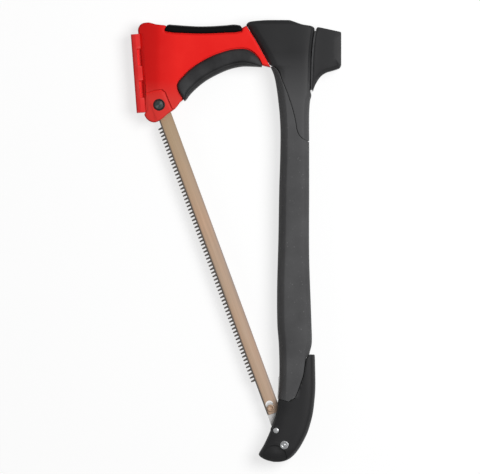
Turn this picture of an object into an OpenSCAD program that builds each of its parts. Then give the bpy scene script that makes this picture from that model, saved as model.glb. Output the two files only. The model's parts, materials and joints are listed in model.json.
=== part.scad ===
// Bow saw built on a hatchet: a steel hatchet head in a moulded housing carries a mallet and a
// handle, its sheath holds one end of a saw blade, and an over-centre lever in the handle's butt
// pulls the other end tight. The saw lies on its side: X runs from the hatchet's edge to the
// mallet, Y from the butt to the head, and Z is the thickness.

/* [Saw blade] */
// Distance between the two holes of the blade
blade_pitch = 381; // [340:1:420]
// Thickness of the blade
blade_thick = 1; // [0.6:0.1:1.4]
// Blade steel on the toothed side of the line through the holes
blade_front = 6.5; // [6:0.5:8]
// Blade steel on the plain side of the line through the holes
blade_back = 10; // [7:0.5:12]
// Height of a tooth
tooth_height = 4.5; // [3:0.5:6]
// Distance from one tooth to the next
tooth_pitch = 4.4; // [3.6:0.2:6]
// Distance from the upper hole to the first tooth
teeth_start = 25; // [22:1:40]
// Distance from the last tooth to the lower hole
teeth_end = 33; // [20:1:60]

/* [Tension lever] */
// Distance from the blade's seat to the link pin
link_length = 46; // [44:0.5:52]
// Distance from the lever's pivot to the link pin
crank_arm = 19.4; // [18:0.2:21]
// How far the pull of the blade passes beyond the lever's pivot
over_centre = 3; // [1.5:0.1:4.5]
// Thickness of the lever
lever_thick = 33; // [30:0.5:35]
// Width of the link
link_width = 13; // [10:0.5:13]
// Thickness of the link
link_thick = 2.5; // [2:0.1:3]
// Radius of the lever's pivot studs
pivot_r = 2.8; // [2.5:0.1:4]
// Radius of the link pin
link_pin_r = 3; // [2.5:0.1:3.5]
// Radius of the blade stud's neck
stud_r = 2.5; // [2:0.1:2.8]
// Radius of the blade stud's head
stud_head_r = 4.2; // [3.9:0.1:4.4]
// Room each side of the stud in the blade's keyhole
keyhole_room = 0.7; // [0.6:0.05:1]

/* [Head] */
// Height of the hatchet's top edge over the lower end of the seam between sheath and housing
head_rise = 46; // [43:0.5:50]
// Overall thickness, across the housing and the mallet
head_thick = 36; // [34:0.5:42]
// Thickness of the hatchet head where the housing clamps it
cheek_thick = 12; // [9:0.5:13]
// Thickness of the hatchet at its cutting edge
edge_thick = 1.2; // [0.8:0.1:2]
// Radius of the pins through the hatchet head
head_pin_r = 3; // [2:0.25:4]
// Rounding of the mallet's edges
mallet_round = 2.5; // [1:0.5:4]
// Gap between the housing and the mallet
mallet_gap = 2; // [1.5:0.1:2.4]

/* [Sheath] */
// Thickness of the sheath
sheath_thick = 24; // [22:0.5:27]
// Thickness of the sheath where the grip pads wrap it
tongue_thick = 18; // [17:0.5:19]
// Rounding of the sheath's edges
sheath_round = 2.2; // [1:0.2:2.4]
// Thickness of the top pad
top_pad_thick = 27; // [25:0.5:30]
// Thickness of the lower pad
lower_pad_thick = 34; // [30:0.5:35]
// Depth of the pocket around the blade's anchor
pocket_depth = 1.7; // [0.8:0.1:2.4]
// Radius of the blade's anchor pin
anchor_r = 4.75; // [3:0.25:5]
// Outer radius of the collars round the anchor pin
collar_r = 7; // [6:0.25:8]
// Thickness of the edge guard's rim
guard_thick = 17; // [14:0.5:19]
// Thickness of the edge guard in its windows
guard_floor = 5; // [4.5:0.5:12]

/* [Handle] */
// Thickness of the grip
grip_thick = 32; // [29:0.5:34]
// Rubber around the handle's core, seen from the side
grip_wall = 4.5; // [3.5:0.25:6]
// Thickness of the handle's core
core_thick = 22; // [20:0.5:23]
// Wall of the core around its hollow
core_wall = 4; // [3:0.25:5]
// Width of the slot in the tail fork, where the link swings
fork_slot = 9; // [8.6:0.2:10]
// Thickness of each cheek of the tail fork
fork_cheek = 3.5; // [3:0.1:4]
// Radius of the tail fork round the pivot
fork_r = 6.75; // [6:0.25:8]

/* [Fits] */
// Gap along the seams between neighbouring shells
seam_gap = 0.4; // [0.3:0.05:0.6]
// Radial clearance of a turning fit
running_gap = 0.06; // [0.04:0.01:0.09]
// Radial clearance of a pressed or screwed fit
press_gap = 0.02; // [0.01:0.01:0.04]
// Side clearance between sliding faces
side_gap = 0.4; // [0.3:0.05:0.5]

/* [Hidden] */
$fn = 48;

// Heights above and below the saw's middle plane
head_half = head_thick / 2;
sheath_half = sheath_thick / 2;
tongue_half = tongue_thick / 2;
cheek_half = cheek_thick / 2;
core_half = core_thick / 2;
fork_half = fork_slot / 2 + fork_cheek;
channel_half = fork_half + side_gap;
lever_half = lever_thick / 2;
lever_clear = lever_half + 1;

// The blade hangs from the anchor pin. Its angle follows from its length, the link and the lever.
anchor = [-90, 160.5];
pivot_x = 48;
crank_reach = sqrt(crank_arm * crank_arm - over_centre * over_centre);
pull_length = blade_pitch + link_length - crank_reach;
pull_lean = atan2(over_centre, pull_length);
blade_angle = pull_lean + asin((pivot_x - anchor.x) / norm([pull_length, over_centre]));
along = [sin(blade_angle), -cos(blade_angle)];
across = [cos(blade_angle), sin(blade_angle)];
seat = anchor + blade_pitch * along;
crank_pin = seat + link_length * along;
pivot = crank_pin - crank_reach * along - over_centre * across;

// ---------------------------------------------------------------- curves and lofts

function lerp(a, b, t) = a + (b - a) * t;
function unit(v) = v / norm(v);
function reversed(list) = [for (i = [len(list) - 1 : -1 : 0]) list[i]];

// Direction of a smooth curve at point i of a chain
function heading(pts, i) = let (n = len(pts) - 1)
    i == 0 ? unit(pts[1] - pts[0])
    : i == n ? unit(pts[n] - pts[n - 1])
    : let (a = norm(pts[i] - pts[i - 1]), b = norm(pts[i + 1] - pts[i]))
        unit((pts[i] - pts[i - 1]) / a * b + (pts[i + 1] - pts[i]) / b * a);

// A point at share t of the way from p to q, leaving along u and arriving along v
function bend(p, q, u, v, t) = let (h = norm(q - p))
    (2 * t ^ 3 - 3 * t ^ 2 + 1) * p + (t ^ 3 - 2 * t ^ 2 + t) * h * u
    + (3 * t ^ 2 - 2 * t ^ 3) * q + (t ^ 3 - t ^ 2) * h * v;

// A smooth curve through a chain of points, without its last point
function smooth(pts, steps) = [for (i = [0 : len(pts) - 2]) for (k = [0 : steps - 1])
    bend(pts[i], pts[i + 1], heading(pts, i), heading(pts, i + 1), k / steps)];

// An outline moved inwards, or outwards for a negative distance; it runs anticlockwise.
// A list of shares lets the move fade where the shape is thin.
function inset(pts, d, share = []) = let (n = len(pts)) [for (i = [0 : n - 1])
    let (u = unit(pts[i] - pts[(i + n - 1) % n]), v = unit(pts[(i + 1) % n] - pts[i]),
        move = share == [] ? d : d * share[i])
    pts[i] + move * [-(u.y + v.y), u.x + v.x] / max(1 + u * v, 0.5)];

// The side-to-side place of an edge at height y, smooth through a list of [y, x] pairs
function span(tab, y, i = 0) = i >= len(tab) - 2 || y <= tab[i + 1][0] ? i : span(tab, y, i + 1);
function slope(tab, i) = let (n = len(tab) - 1, a = max(i - 1, 0), b = min(i + 1, n))
    (tab[b][1] - tab[a][1]) / (tab[b][0] - tab[a][0]);
function edge(tab, y) = let (i = span(tab, y), p = tab[i], q = tab[i + 1], h = q[0] - p[0],
        t = (y - p[0]) / h, m = slope(tab, i), n = slope(tab, i + 1))
    (2 * t ^ 3 - 3 * t ^ 2 + 1) * p[1] + (t ^ 3 - 2 * t ^ 2 + t) * h * m
    + (3 * t ^ 2 - 2 * t ^ 3) * q[1] + (t ^ 3 - t ^ 2) * h * n;

// Oval sections: s runs from -1 to 1 across the body, and a higher n squares the section off
parting_flat = 0.8;
function oval_turn(s, n) = acos(-sign(s) * abs(s) ^ (n / 2));
function oval_s(turn, n) = -sign(cos(turn)) * abs(cos(turn)) ^ (2 / n);
function oval_z(turn, half, n) = parting_flat + (half - parting_flat) * abs(sin(turn)) ^ (2 / n);

// One section from point p to q: the stretch from s0 to s1 of an oval of the given half height.
// A whole section has an underside like its top, and a half one ends on the middle plane.
function section(row, cols, whole) = let (p = row[0], q = row[1], s0 = row[2], s1 = row[3],
        half = row[4], n = row[5], a = oval_turn(s0, n), b = oval_turn(s1, n),
        arch = [for (k = [0 : cols]) let (turn = lerp(a, b, k / cols),
            at = lerp(p, q, (oval_s(turn, n) - s0) / (s1 - s0)))
            [at.x, at.y, oval_z(turn, half, n)]])
    whole ? concat(arch, [for (v = reversed(arch)) [v.x, v.y, -v.z]])
    : concat([[p.x, p.y, 0]], arch, [[q.x, q.y, 0]]);

// Cuts a flat outline into triangles, so that a hollow one closes without folding over
function turn_of(a, b, c) = (b.x - a.x) * (c.y - a.y) - (b.y - a.y) * (c.x - a.x);
function is_clear(pts, rest, a, b, c) = len([for (q = rest)
    if (q != a && q != b && q != c && turn_of(pts[a], pts[b], pts[q]) >= 0
        && turn_of(pts[b], pts[c], pts[q]) >= 0 && turn_of(pts[c], pts[a], pts[q]) >= 0) q]) == 0;
function is_ear(pts, rest, k) = let (n = len(rest), a = rest[(k + n - 1) % n], b = rest[k],
        c = rest[(k + 1) % n])
    turn_of(pts[a], pts[b], pts[c]) > 0 && is_clear(pts, rest, a, b, c);
function first_ear(pts, rest, k = 0) = k >= len(rest) - 1 || is_ear(pts, rest, k) ? k
    : first_ear(pts, rest, k + 1);
function triangles(pts, rest) = let (n = len(rest)) n == 3 ? [rest]
    : let (k = first_ear(pts, rest))
    concat([[rest[(k + n - 1) % n], rest[k], rest[(k + 1) % n]]],
        triangles(pts, [for (i = [0 : n - 1]) if (i != k) rest[i]]));

// Skins a stack of rings that have equally many points, each anticlockwise as seen from the
// last. The ends of a loft bulge outwards all round, and those of a flat plate may turn inwards.
module skin(rings, flat = true) {
    n = len(rings[0]);
    m = len(rings);
    whole_end = [[for (k = [0 : n - 1]) k]];
    first_end = flat ? triangles(rings[0], whole_end[0]) : whole_end;
    last_end = flat ? triangles(rings[m - 1], whole_end[0]) : whole_end;
    walls = [for (r = [0 : m - 2]) for (k = [0 : n - 1])
        let (a = r * n + k, b = r * n + (k + 1) % n)
        each [[b + n, b, a], [a + n, b + n, a]]];
    polyhedron(points = [for (ring = rings) each ring], convexity = 8,
        faces = concat(first_end, walls,
            [for (face = last_end) [for (k = reversed(face)) (m - 1) * n + k]]));
}

module loft(rows, cols, whole = true) {
    skin([for (row = rows) section(row, cols, whole)], false);
}

function ring(pts, z) = [for (p = pts) [p.x, p.y, z]];

// Rings of a rounded rim that ends at the height of the face
rim_steps = 3;
function rim_rings(pts, face, r, share = []) = [for (k = [1 : rim_steps])
    let (a = 90 * k / rim_steps) ring(inset(pts, r * (1 - cos(a)), share), face - r + r * sin(a))];

// A flat body with rounded rims on both faces
module rounded_plate(pts, half, r, share = []) {
    upper = concat([ring(pts, half - r)], rim_rings(pts, half, r, share));
    lower = [for (level = reversed(upper)) [for (v = level) [v.x, v.y, -v.z]]];
    skin(concat(lower, upper));
}

// Lifts a piece from the middle plane so that the saw lies on its housing
module lying() { translate([0, 0, head_half]) children(); }

// A plan shape between two heights
module slab(low, high) { translate([0, 0, low]) linear_extrude(high - low) children(); }

// Rods along Z at a list of places
module rods(places, r, low, high) {
    for (at = places) translate([at.x, at.y, low]) cylinder(r = r, h = high - low);
}

// Puts a piece on the line of the blade: X from the anchor to the butt, Y towards the handle
module on_blade() { translate([anchor.x, anchor.y, 0]) rotate([0, 0, blade_angle - 90]) children(); }

// ---------------------------------------------------------------- outlines

// Edges of the handle as [y, x]; the lower ends follow the lever's pivot
tail = pivot.y;
handle_left = [[tail + 36, 50.3], [tail + 55, 51.3], [tail + 75, 51.8], [tail + 102, 51],
    [tail + 125, 49.3], [tail + 165, 49], [tail + 225, 50.5], [60, 51.5], [100, 52.7],
    [130, 53], [150, 52], [160, 51], [180, 48.5], [195, 45.5], [205, 41.5]];
handle_right = [[tail + 36, 86], [tail + 88, 87], [tail + 102, 90], [tail + 125, 89.7],
    [tail + 145, 89], [tail + 205, 87], [60, 87], [150, 87], [158, 87.2]];

// Seam between the housing and the rubber grip, and between the grip and the lever
head_seam = [[116, 88.5], [117, 86], [120, 80], [124, 75.5], [130, 72.5], [140, 70.8],
    [150, 68.6], [160, 65.8], [174, 61], [189, 55], [199, 51], [204, 47], [207.5, 41]];
tail_seam = [[tail + 33.4, 62.2], [tail + 35, 64.4], [tail + 36.4, 66], [tail + 37.5, 69],
    [tail + 42.5, 72], [tail + 53, 76], [tail + 65, 80], [tail + 80, 82.5], [tail + 86, 84],
    [tail + 89, 87.2]];

// Edges of the head housing as [y, x]; the upper ends follow the hatchet's top edge
seam_foot_y = 205;
top = seam_foot_y + head_rise;
sheath_line = [[200, 43.5], [seam_foot_y, 41.5], [217, 35], [top - 16, 25], [top, 15],
    [top + 3.5, 12.6]];
housing_top_left = [[top + 3.5, 12.6], [top + 5, 13.2], [top + 7.5, 17], [top + 8.8, 27],
    [top + 9.5, 38], [top + 9.8, 46]];
housing_right = [[116, 87], [150, 87], [165, 88], [172, 89.6], [176, 88.4], [180, 88.7],
    [212, 89.5], [227, 90.5], [top - 11, 92], [top - 2, 93.3], [top + 0.5, 92.6],
    [top + 2.5, 89], [top + 4, 80], [top + 5.5, 75], [top + 7.3, 70], [top + 9, 65],
    [top + 9.8, 61]];

// Edges of the lever as [y, x]
lever_left = [[tail - 37.5, 46], [tail - 36.7, 42], [tail - 35, 36], [tail - 32.5, 31],
    [tail - 30, 28], [tail - 28, 27.4], [tail - 25, 28.8], [tail - 19.7, 32],
    [tail - 11.7, 36], [tail - 2.7, 40], [tail + 6.3, 43.5], [tail + 21.3, 48],
    [tail + 35.7, 50]];
lever_right = [[tail - 37.5, 50], [tail - 36.9, 55], [tail - 35.4, 60], [tail - 32.7, 65],
    [tail - 28.2, 70], [tail - 21.7, 75], [tail - 13.2, 80], [tail - 2.7, 85],
    [tail + 8.3, 88.5], [tail + 18.3, 91], [tail + 28.3, 92.5], [tail + 48.3, 94.2],
    [tail + 75, 94], [tail + 88, 93.6], [tail + 89.5, 93]];

// The crescent pad lies between an upper and a lower edge, with equally many points on each
crescent_upper = smooth([[-62.5, 168.5], [-66.5, 175], [-69.3, 184], [-60, 197.5], [-40, 213],
    [-20, 222.3], [0, 227.3], [15, 226.5], [26.5, 217.5], [31.5, 208.5]], 4);
crescent_lower = smooth([[-59.8, 164.6], [-57.4, 167], [-55, 170.5], [-47.5, 178.5],
    [-36, 188], [-22, 196], [-5, 203], [7, 205.5], [20, 205.6], [31, 205]], 4);

// The top pad lies between its lower edge on the sheath and the sheath's top edge
strip_lower = smooth([[7.8, top - 1], [7.4, top - 3.8], [3, top - 5.4], [-12, top - 6.4],
    [-26, top - 7.1], [-42, top - 7.4], [-62, top - 6.8], [-77, top - 5.6], [-83.6, top - 3.4],
    [-81.9, top + 1]], 3);
strip_upper = smooth([[7, top + 1.6], [5.6, top + 3], [2, top + 4], [-12, top + 3.4],
    [-26, top + 2.5], [-42, top + 2.1], [-60, top + 3], [-74, top + 4], [-79, top + 4.2],
    [-80.4, top + 3.6]], 3);

// The sheath, anticlockwise from its lower front corner. Its tongue runs on under both pads.
guard_top = [-123.5, top - 7.5];
guard_foot = [-116.5, 151];
guard_width = 10.3;
guard_gap = 0.1;
guard_tilt = atan2(guard_foot.x - guard_top.x, guard_top.y - guard_foot.y);
guard_length = norm(guard_top - guard_foot);
function beside_guard(y) = [guard_top.x + (guard_top.y - y) * tan(guard_tilt)
    + (guard_width + guard_gap) / cos(guard_tilt), y];
sheath_foot = smooth([beside_guard(151.5), [-107.3, 149.6], [-105.8, 145.4], [-102, 141.7],
    [-96.4, 139.9], [-88.5, 142.8], [-80, 149.8], [-71, 156.5], [-64.5, 165.2]], 3);
sheath_top = smooth([[-83, top + 3.2], [-93, top + 4.3], [-104, top + 6.6],
    [-111.5, top + 4.6], [-115, top - 1.5], [-114.7, top - 6.3]], 3);
sheath_side = [for (y = [seam_foot_y - 0.2, 213, 221, top - 22, top - 14, top - 6, top, top + 2.8])
    [edge(sheath_line, y) - seam_gap, y]];
sheath_front = [[-114.7, top - 6.3], beside_guard(top - 7.2)];

// How far the sheath's tongue reaches across each pad
tongue_share = 0.8;
function across_pad(near, far, share) = [for (i = [0 : len(near) - 1])
    lerp(near[i], far[i], share)];
function sheath_outline(share) = concat(sheath_foot,
    across_pad(crescent_upper, crescent_lower, share), sheath_side,
    across_pad(strip_lower, strip_upper, share), sheath_top, sheath_front);

// The hatchet head: bit in the sheath, cheek in the housing, tangs into the mallet and handle.
// The bit thickens from its edge to where the cheek begins.
bit_edge_x = -104;
cheek_start_x = 16;
tang_end_x = 108;
tang_low = 216;
tang_high = top - 11;
hatchet_plan = concat(
    smooth([[-98, 184.5], [-80, 190.5], [-58, 202], [-36, 211], [-12, 216], [12, 216.8],
        [32, 213.5], [48, 205], [60, 190]], 3),
    [[60, 190], [60, 70], [76, 70], [76, 195], [84, 205], [84, tang_low],
        [tang_end_x, tang_low], [tang_end_x, tang_high], [84, tang_high], [84, top - 5]],
    smooth([[60, top], [30, top - 2], [0, top - 5.5], [-30, top - 9], [-70, top - 10],
        [-99, top - 7]], 3),
    smooth([[-99, top - 7], [-102.5, top - 19], [bit_edge_x, 214], [-102, 198],
        [-98, 184.5]], 3));

head_pins = [[50, top - 11], [74, top - 13], [72, 180]];
mallet_pin_places = [[102, tang_low + 5], [102, tang_high - 5]];
housing_screw_places = [[30, top + 3.5], [86, top - 2], [84.4, 190], [81.5, 162]];
sheath_screw_places = [[-90, top - 1.5], [-78, 180]];
arch_screw_places = [[-30, 204]];
core_screw_places = [[68, 55], [69, tail + 170], [66, tail + 60]];

// The mallet, anticlockwise from its lower tip
mallet_back_y = [top - 0.5, top - 11, 230, 215, 200, 185];
mallet_outline = concat(
    smooth([[91.4, 176.5], [93, 181.5], [96, 187.5], [101, 194.5], [107, 198.6], [114, 200.8],
        [120.5, 202.8]], 2),
    [[120.5, 202.8], [124.5, 206], [124.5, top - 6.2]],
    smooth([[123.4, top - 4.6], [110, top - 2], [98.5, top + 0.8]], 2),
    [for (y = mallet_back_y) [edge(housing_right, y) + mallet_gap, y]],
    [[90.6, 179]]);
mallet_share = [for (p = mallet_outline) min(max((p.y - 178) / 24, 0.12), 1)];

// ---------------------------------------------------------------- head

// The space that the hatchet head fills, with room all round
module hatchet_space(room) {
    tip_half = edge_thick / 2 + room;
    full_half = cheek_half + room;
    intersection() {
        slab(-full_half, full_half) polygon(inset(hatchet_plan, -room));
        rotate([90, 0, 0]) linear_extrude(2 * top + 2, center = true) polygon([
            [bit_edge_x - 2, -tip_half], [cheek_start_x, -full_half], [tang_end_x + 2, -full_half],
            [tang_end_x + 2, full_half], [cheek_start_x, full_half], [bit_edge_x - 2, tip_half]]);
    }
}

module hatchet_head() {
    color("silver") lying() difference() {
        hatchet_space(0);
        rods(head_pins, head_pin_r + press_gap, -head_half, head_half);
        rods(mallet_pin_places, mallet_pin_r + press_gap, -head_half, head_half);
    }
}

head_pin_reach = cheek_half + 6;
mallet_pin_r = 2.5;

module hatchet_pins() {
    color("dimgray") lying() rods(head_pins, head_pin_r, -head_pin_reach, head_pin_reach);
}

// Sections of the housing: oval like the grip at its neck, squared off over the hatchet's cheek
housing_rows_y = [117.6, 119, 121, 124, 128, 134, 142, 150, 158, 166, 172, 176, 178.5, 182, 190,
    199, 204, 207.5, 213, 221, top - 22, top - 14, top - 6, top - 2, top, top + 3.5, top + 5,
    top + 7.3, top + 8.8, top + 9.5];
function body_left(y) = y < seam_foot_y ? edge(handle_left, y)
    : y < top + 3.5 ? edge(sheath_line, y) : edge(housing_top_left, y);
function housing_left_edge(y) = y < 207 ? max(edge(head_seam, y), body_left(y)) + seam_gap / 2
    : body_left(y) + seam_gap / 2;
function squareness(y) = lerp(2.8, 7, min(max((y - 140) / 70, 0), 1));
function crown(y) = y < top + 3 ? 0 : ((y - top - 3) / 7) ^ 2 * 4;
function head_half_at(y) = lerp(grip_thick / 2, head_half, min(max((y - 118) / 60, 0), 1))
    - crown(y);
function across_body(x, y) = let (l = body_left(y), r = edge(housing_right, y))
    min(max((2 * x - l - r) / (r - l), -1), 1);
function housing_row(y) = let (l = housing_left_edge(y), r = edge(housing_right, y))
    [[l, y], [r, y], across_body(l, y), 1, head_half_at(y), squareness(y)];

module housing_half() {
    difference() {
        loft([for (y = housing_rows_y) housing_row(y)], 14, false);
        hatchet_space(press_gap);
        core_plan(press_gap, -core_half - press_gap, core_half + press_gap);
        rods(head_pins, head_pin_r + press_gap, -1, head_pin_reach + press_gap);
    }
}

screw_r = 1.8;
screw_head_r = 3.4;
screw_sink = 4;
screw_head_h = 2.4;

// A screw enters from the right half and ends in the left one
module screw(at, face, reach) {
    translate([at.x, at.y, -face + screw_sink]) {
        cylinder(r = screw_r, h = face - screw_sink + reach);
        translate([0, 0, -screw_head_h]) cylinder(r = screw_head_r, h = screw_head_h);
    }
}
module screw_holes(places, face, reach) {
    for (at = places) translate([at.x, at.y, 0]) {
        translate([0, 0, -face - 5]) cylinder(r = screw_r + press_gap, h = face + 5 + reach + 0.5);
        translate([0, 0, -face - 5]) cylinder(r = screw_head_r + press_gap, h = 5 + screw_sink);
    }
}

housing_screw_face = 14;
housing_screw_reach = 8;

module head_housing_left() {
    color("dimgray") lying() difference() {
        housing_half();
        screw_holes(housing_screw_places, housing_screw_face, housing_screw_reach);
    }
}

module head_housing_right() {
    color("dimgray") lying() difference() {
        mirror([0, 0, 1]) housing_half();
        screw_holes(housing_screw_places, housing_screw_face, housing_screw_reach);
    }
}

module housing_screws() {
    color("gray") lying()
        for (at = housing_screw_places) screw(at, housing_screw_face, housing_screw_reach);
}

// The mallet's foot rests against the housing, a little below the mallet's faces
mallet_foot_sink = 2;
mallet_foot_y = [for (y = housing_rows_y) if (y > 178 && y < top - 1) y];
module mallet_foot() {
    slab(-head_half + mallet_foot_sink, head_half - mallet_foot_sink) polygon(concat(
        [for (y = mallet_foot_y) [edge(housing_right, y) + mallet_gap + 1, y]],
        [for (y = reversed(mallet_foot_y)) [edge(housing_right, y) + press_gap, y]]));
}

module mallet_head() {
    color("#2f3030") lying() difference() {
        union() {
            rounded_plate(mallet_outline, head_half, mallet_round, mallet_share);
            mallet_foot();
        }
        hatchet_space(press_gap);
        rods(mallet_pin_places, mallet_pin_r + press_gap, -head_half - 1, head_half - 6);
    }
}

module mallet_pins() {
    color("dimgray") lying()
        rods(mallet_pin_places, mallet_pin_r, -head_half + 0.6, head_half - 6.3);
}

// ---------------------------------------------------------------- handle

core_top = 150;
core_rows_y = [tail + 36.5, tail + 60, tail + 90, tail + 140, tail + 200, 60, 110, 130, core_top];
function core_side(y) = y > 124 ? 77 : edge(handle_right, max(y, tail + 89)) - grip_wall;
function core_right(y) = y < tail + 89 ? edge(tail_seam, y) - grip_wall : core_side(y);

// The core inside the grip, and the plan of the fork that reaches down to the lever's pivot
module core_plan(room, low, high) {
    slab(low, high) polygon(concat(
        [for (y = core_rows_y) [core_right(y) + room, y]],
        [for (y = reversed(core_rows_y)) [edge(handle_left, y) + grip_wall - room, y]]));
}

fork_outline = [[-fork_r, 0], [fork_r, 0], [16.5, 26], [16.5, 44], [7.2, 44], [2, 26]];
module fork_plan() {
    circle(r = fork_r);
    polygon(fork_outline);
}

// The hollow of the core, in two bays with a rib between
module core_bay(low, high) {
    rows = [for (k = [0 : 6]) lerp(low, high, k / 6)];
    slab(-1, core_half - core_wall) polygon(concat(
        [for (y = rows) [core_right(y) - core_wall, y]],
        [for (y = reversed(rows)) [edge(handle_left, y) + grip_wall + core_wall, y]]));
}

module core_half_body() {
    difference() {
        union() {
            core_plan(0, 0, core_half);
            slab(fork_slot / 2, fork_half) translate(pivot) fork_plan();
        }
        hatchet_space(press_gap);
        core_bay(tail + 92, tail + 160);
        core_bay(tail + 180, 44);
        rods([pivot], pivot_r + press_gap, 0, fork_half + 1);
    }
}

core_screw_reach = 7;

module handle_core_left() {
    color("#26282a") lying() difference() {
        core_half_body();
        screw_holes(core_screw_places, core_half, core_screw_reach);
    }
}

module handle_core_right() {
    color("#26282a") lying() difference() {
        mirror([0, 0, 1]) core_half_body();
        screw_holes(core_screw_places, core_half, core_screw_reach);
    }
}

module core_screws() {
    color("gray") lying() for (at = core_screw_places) screw(at, core_half, core_screw_reach);
}

grip_square = 2.8;
// The grip ends in a foot whose underside is an arc round the lever's pivot
handle_foot_y = tail + 36;
grip_foot_r = 36.8;
grip_rows_y = [tail + 34.3, tail + 34.9, tail + 35.6, tail + 36.2, tail + 36.6, tail + 36.8,
    tail + 38, tail + 42, tail + 47, tail + 55, tail + 65, tail + 75,
    tail + 84, tail + 87, tail + 89, tail + 94, tail + 102, tail + 114, tail + 125, tail + 145,
    tail + 165, tail + 185, tail + 205, tail + 225, 20, 40, 60, 80, 100, 112, 116.6, 117.6, 119,
    121, 124, 128, 134, 142, 150, 158, 166, 174, 182, 190, 199, 204, 206.6];
function grip_right(y) = y < tail + 88.9 ? edge(tail_seam, y) - seam_gap
    : y < 117 ? edge(handle_right, y) : min(edge(head_seam, y) - seam_gap / 2, 87);
function grip_outer_left(y) = y < 205 ? edge(handle_left, max(y, handle_foot_y))
    : edge(handle_left, 205) - (y - 205) * 0.5;
function grip_outer_right(y) = y < 117 ? edge(handle_right, max(y, handle_foot_y))
    : edge(housing_right, y);
function grip_left(y) = y - tail > grip_foot_r ? grip_outer_left(y)
    : max(grip_outer_left(y), pivot.x + sqrt(grip_foot_r * grip_foot_r - (y - tail) ^ 2));
function grip_row(y) = let (l = grip_left(y), r = grip_right(y), first = grip_outer_left(y),
        last = grip_outer_right(y))
    [[l, y], [r, y], max((2 * l - first - last) / (last - first), -1),
        min((2 * r - first - last) / (last - first), 1),
        y < 117 ? grip_thick / 2 : head_half_at(y), y < 117 ? grip_square : squareness(y)];

// A tongue along the grip's seam lies in a groove of the closed lever, so the seam shows no light
tongue_y = [for (d = [40, 42.5, 47, 53, 59, 65, 72, 80, 85]) tail + d];
module tongue_strip(half, back, reach) {
    slab(-half, half) polygon(concat(
        [for (y = tongue_y) [edge(tail_seam, y) + reach, y]],
        [for (y = reversed(tongue_y)) [edge(tail_seam, y) - back, y]]));
}
seam_tongue_half = 1.2;
seam_tongue_reach = 1.6;

module grip_sleeve() {
    color("#3a3c3d") lying() difference() {
        union() {
            loft([for (y = grip_rows_y) grip_row(y)], 14);
            tongue_strip(seam_tongue_half, 2, seam_tongue_reach);
        }
        core_plan(press_gap, -core_half - press_gap, core_half + press_gap);
        hatchet_space(press_gap);
        slab(-fork_half - press_gap, fork_half + press_gap) translate(pivot)
            polygon(inset(fork_outline, -press_gap));
        slab(-catch_half - press_gap, catch_half + press_gap) polygon(catch_plan(press_gap));
    }
}

// Spring catch: a steel strip let into the front of the handle, just above the lever's lip
catch_half = 3.5;
catch_thick = 1.2;
catch_proud = 0.9;
catch_rows_y = [tail + 37.4, tail + 46, tail + 55, tail + 63];
function catch_plan(room) = concat(
    [for (y = catch_rows_y) [edge(handle_left, y) + catch_thick + room, y]],
    [for (y = reversed(catch_rows_y)) [edge(handle_left, y) - catch_proud - room, y]]);

module lever_catch() {
    color("silver") lying() slab(-catch_half, catch_half) polygon(catch_plan(0));
}

// ---------------------------------------------------------------- sheath

// The blade's way into the sheath, wide enough for its swing
slot_half = 1.6;
module anchor_slot() {
    on_blade() slab(-slot_half, slot_half) polygon([[-12, -10], [45, -11], [45, blade_back + 2],
        [-12, blade_back + 2]]);
}

// The lowered face around the anchor pin
anchor_pocket = [[-110, 135], [-110, 170], [-104, 174.5], [-95, 177.3], [-86.5, 178.2],
    [-83, 175], [-79, 165.5], [-73, 151.5], [-73, 135]];

guard_web = 5;
guard_web_half = 2;
module along_guard() { translate([guard_top.x, guard_top.y, 0]) rotate([0, 0, guard_tilt]) children(); }

module sheath_half_body() {
    tongue = sheath_outline(tongue_share);
    body = sheath_outline(0);
    difference() {
        skin(concat([ring(tongue, 0), ring(tongue, tongue_half), ring(body, tongue_half + 0.6)],
            rim_rings(body, sheath_half, sheath_round)));
        hatchet_space(side_gap);
        anchor_slot();
        slab(sheath_half - pocket_depth, sheath_half + 1) polygon(anchor_pocket);
        rods([anchor], anchor_r + press_gap, -1, head_half);
        rods([anchor], collar_r + press_gap, sheath_half - pocket_depth - collar_seat, head_half);
        along_guard() slab(-1, guard_web_half + press_gap)
            translate([guard_width - 0.5, -guard_length])
                square([guard_web + 0.5 + press_gap, guard_length]);
        // The face falls away towards the hatchet's edge
        translate([-97, 0, sheath_half]) rotate([0, -14, 0]) translate([-40, 0, 0])
            cube([44, 400, 20]);
    }
}

collar_seat = 1.6;
sheath_screw_reach = 6;

module sheath_holes() {
    screw_holes(sheath_screw_places, sheath_half, sheath_screw_reach);
    screw_holes(arch_screw_places, tongue_half, sheath_screw_reach);
}

module sheath_left() {
    color("#e5342b") lying() difference() {
        sheath_half_body();
        sheath_holes();
    }
}

module sheath_right() {
    color("#e5342b") lying() difference() {
        mirror([0, 0, 1]) sheath_half_body();
        sheath_holes();
    }
}

module sheath_screws() {
    color("gray") lying() {
        for (at = sheath_screw_places) screw(at, sheath_half, sheath_screw_reach);
        for (at = arch_screw_places) screw(at, tongue_half, sheath_screw_reach);
    }
}

// Rail along the hatchet's edge: a rounded rim, two windows and three tabs
rim_width = 5.5;
rim_round = 2.6;
tab_length = 17.5;
module guard_section(half) {
    circle_at = [rim_round, half - rim_round];
    polygon(concat(
        [for (a = [90 : 15 : 180]) circle_at + rim_round * [cos(a), sin(a)]],
        [for (a = [180 : 15 : 270]) [circle_at.x, -circle_at.y] + rim_round * [cos(a), sin(a)]],
        [[rim_width, -half], [rim_width, half]]));
}

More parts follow.
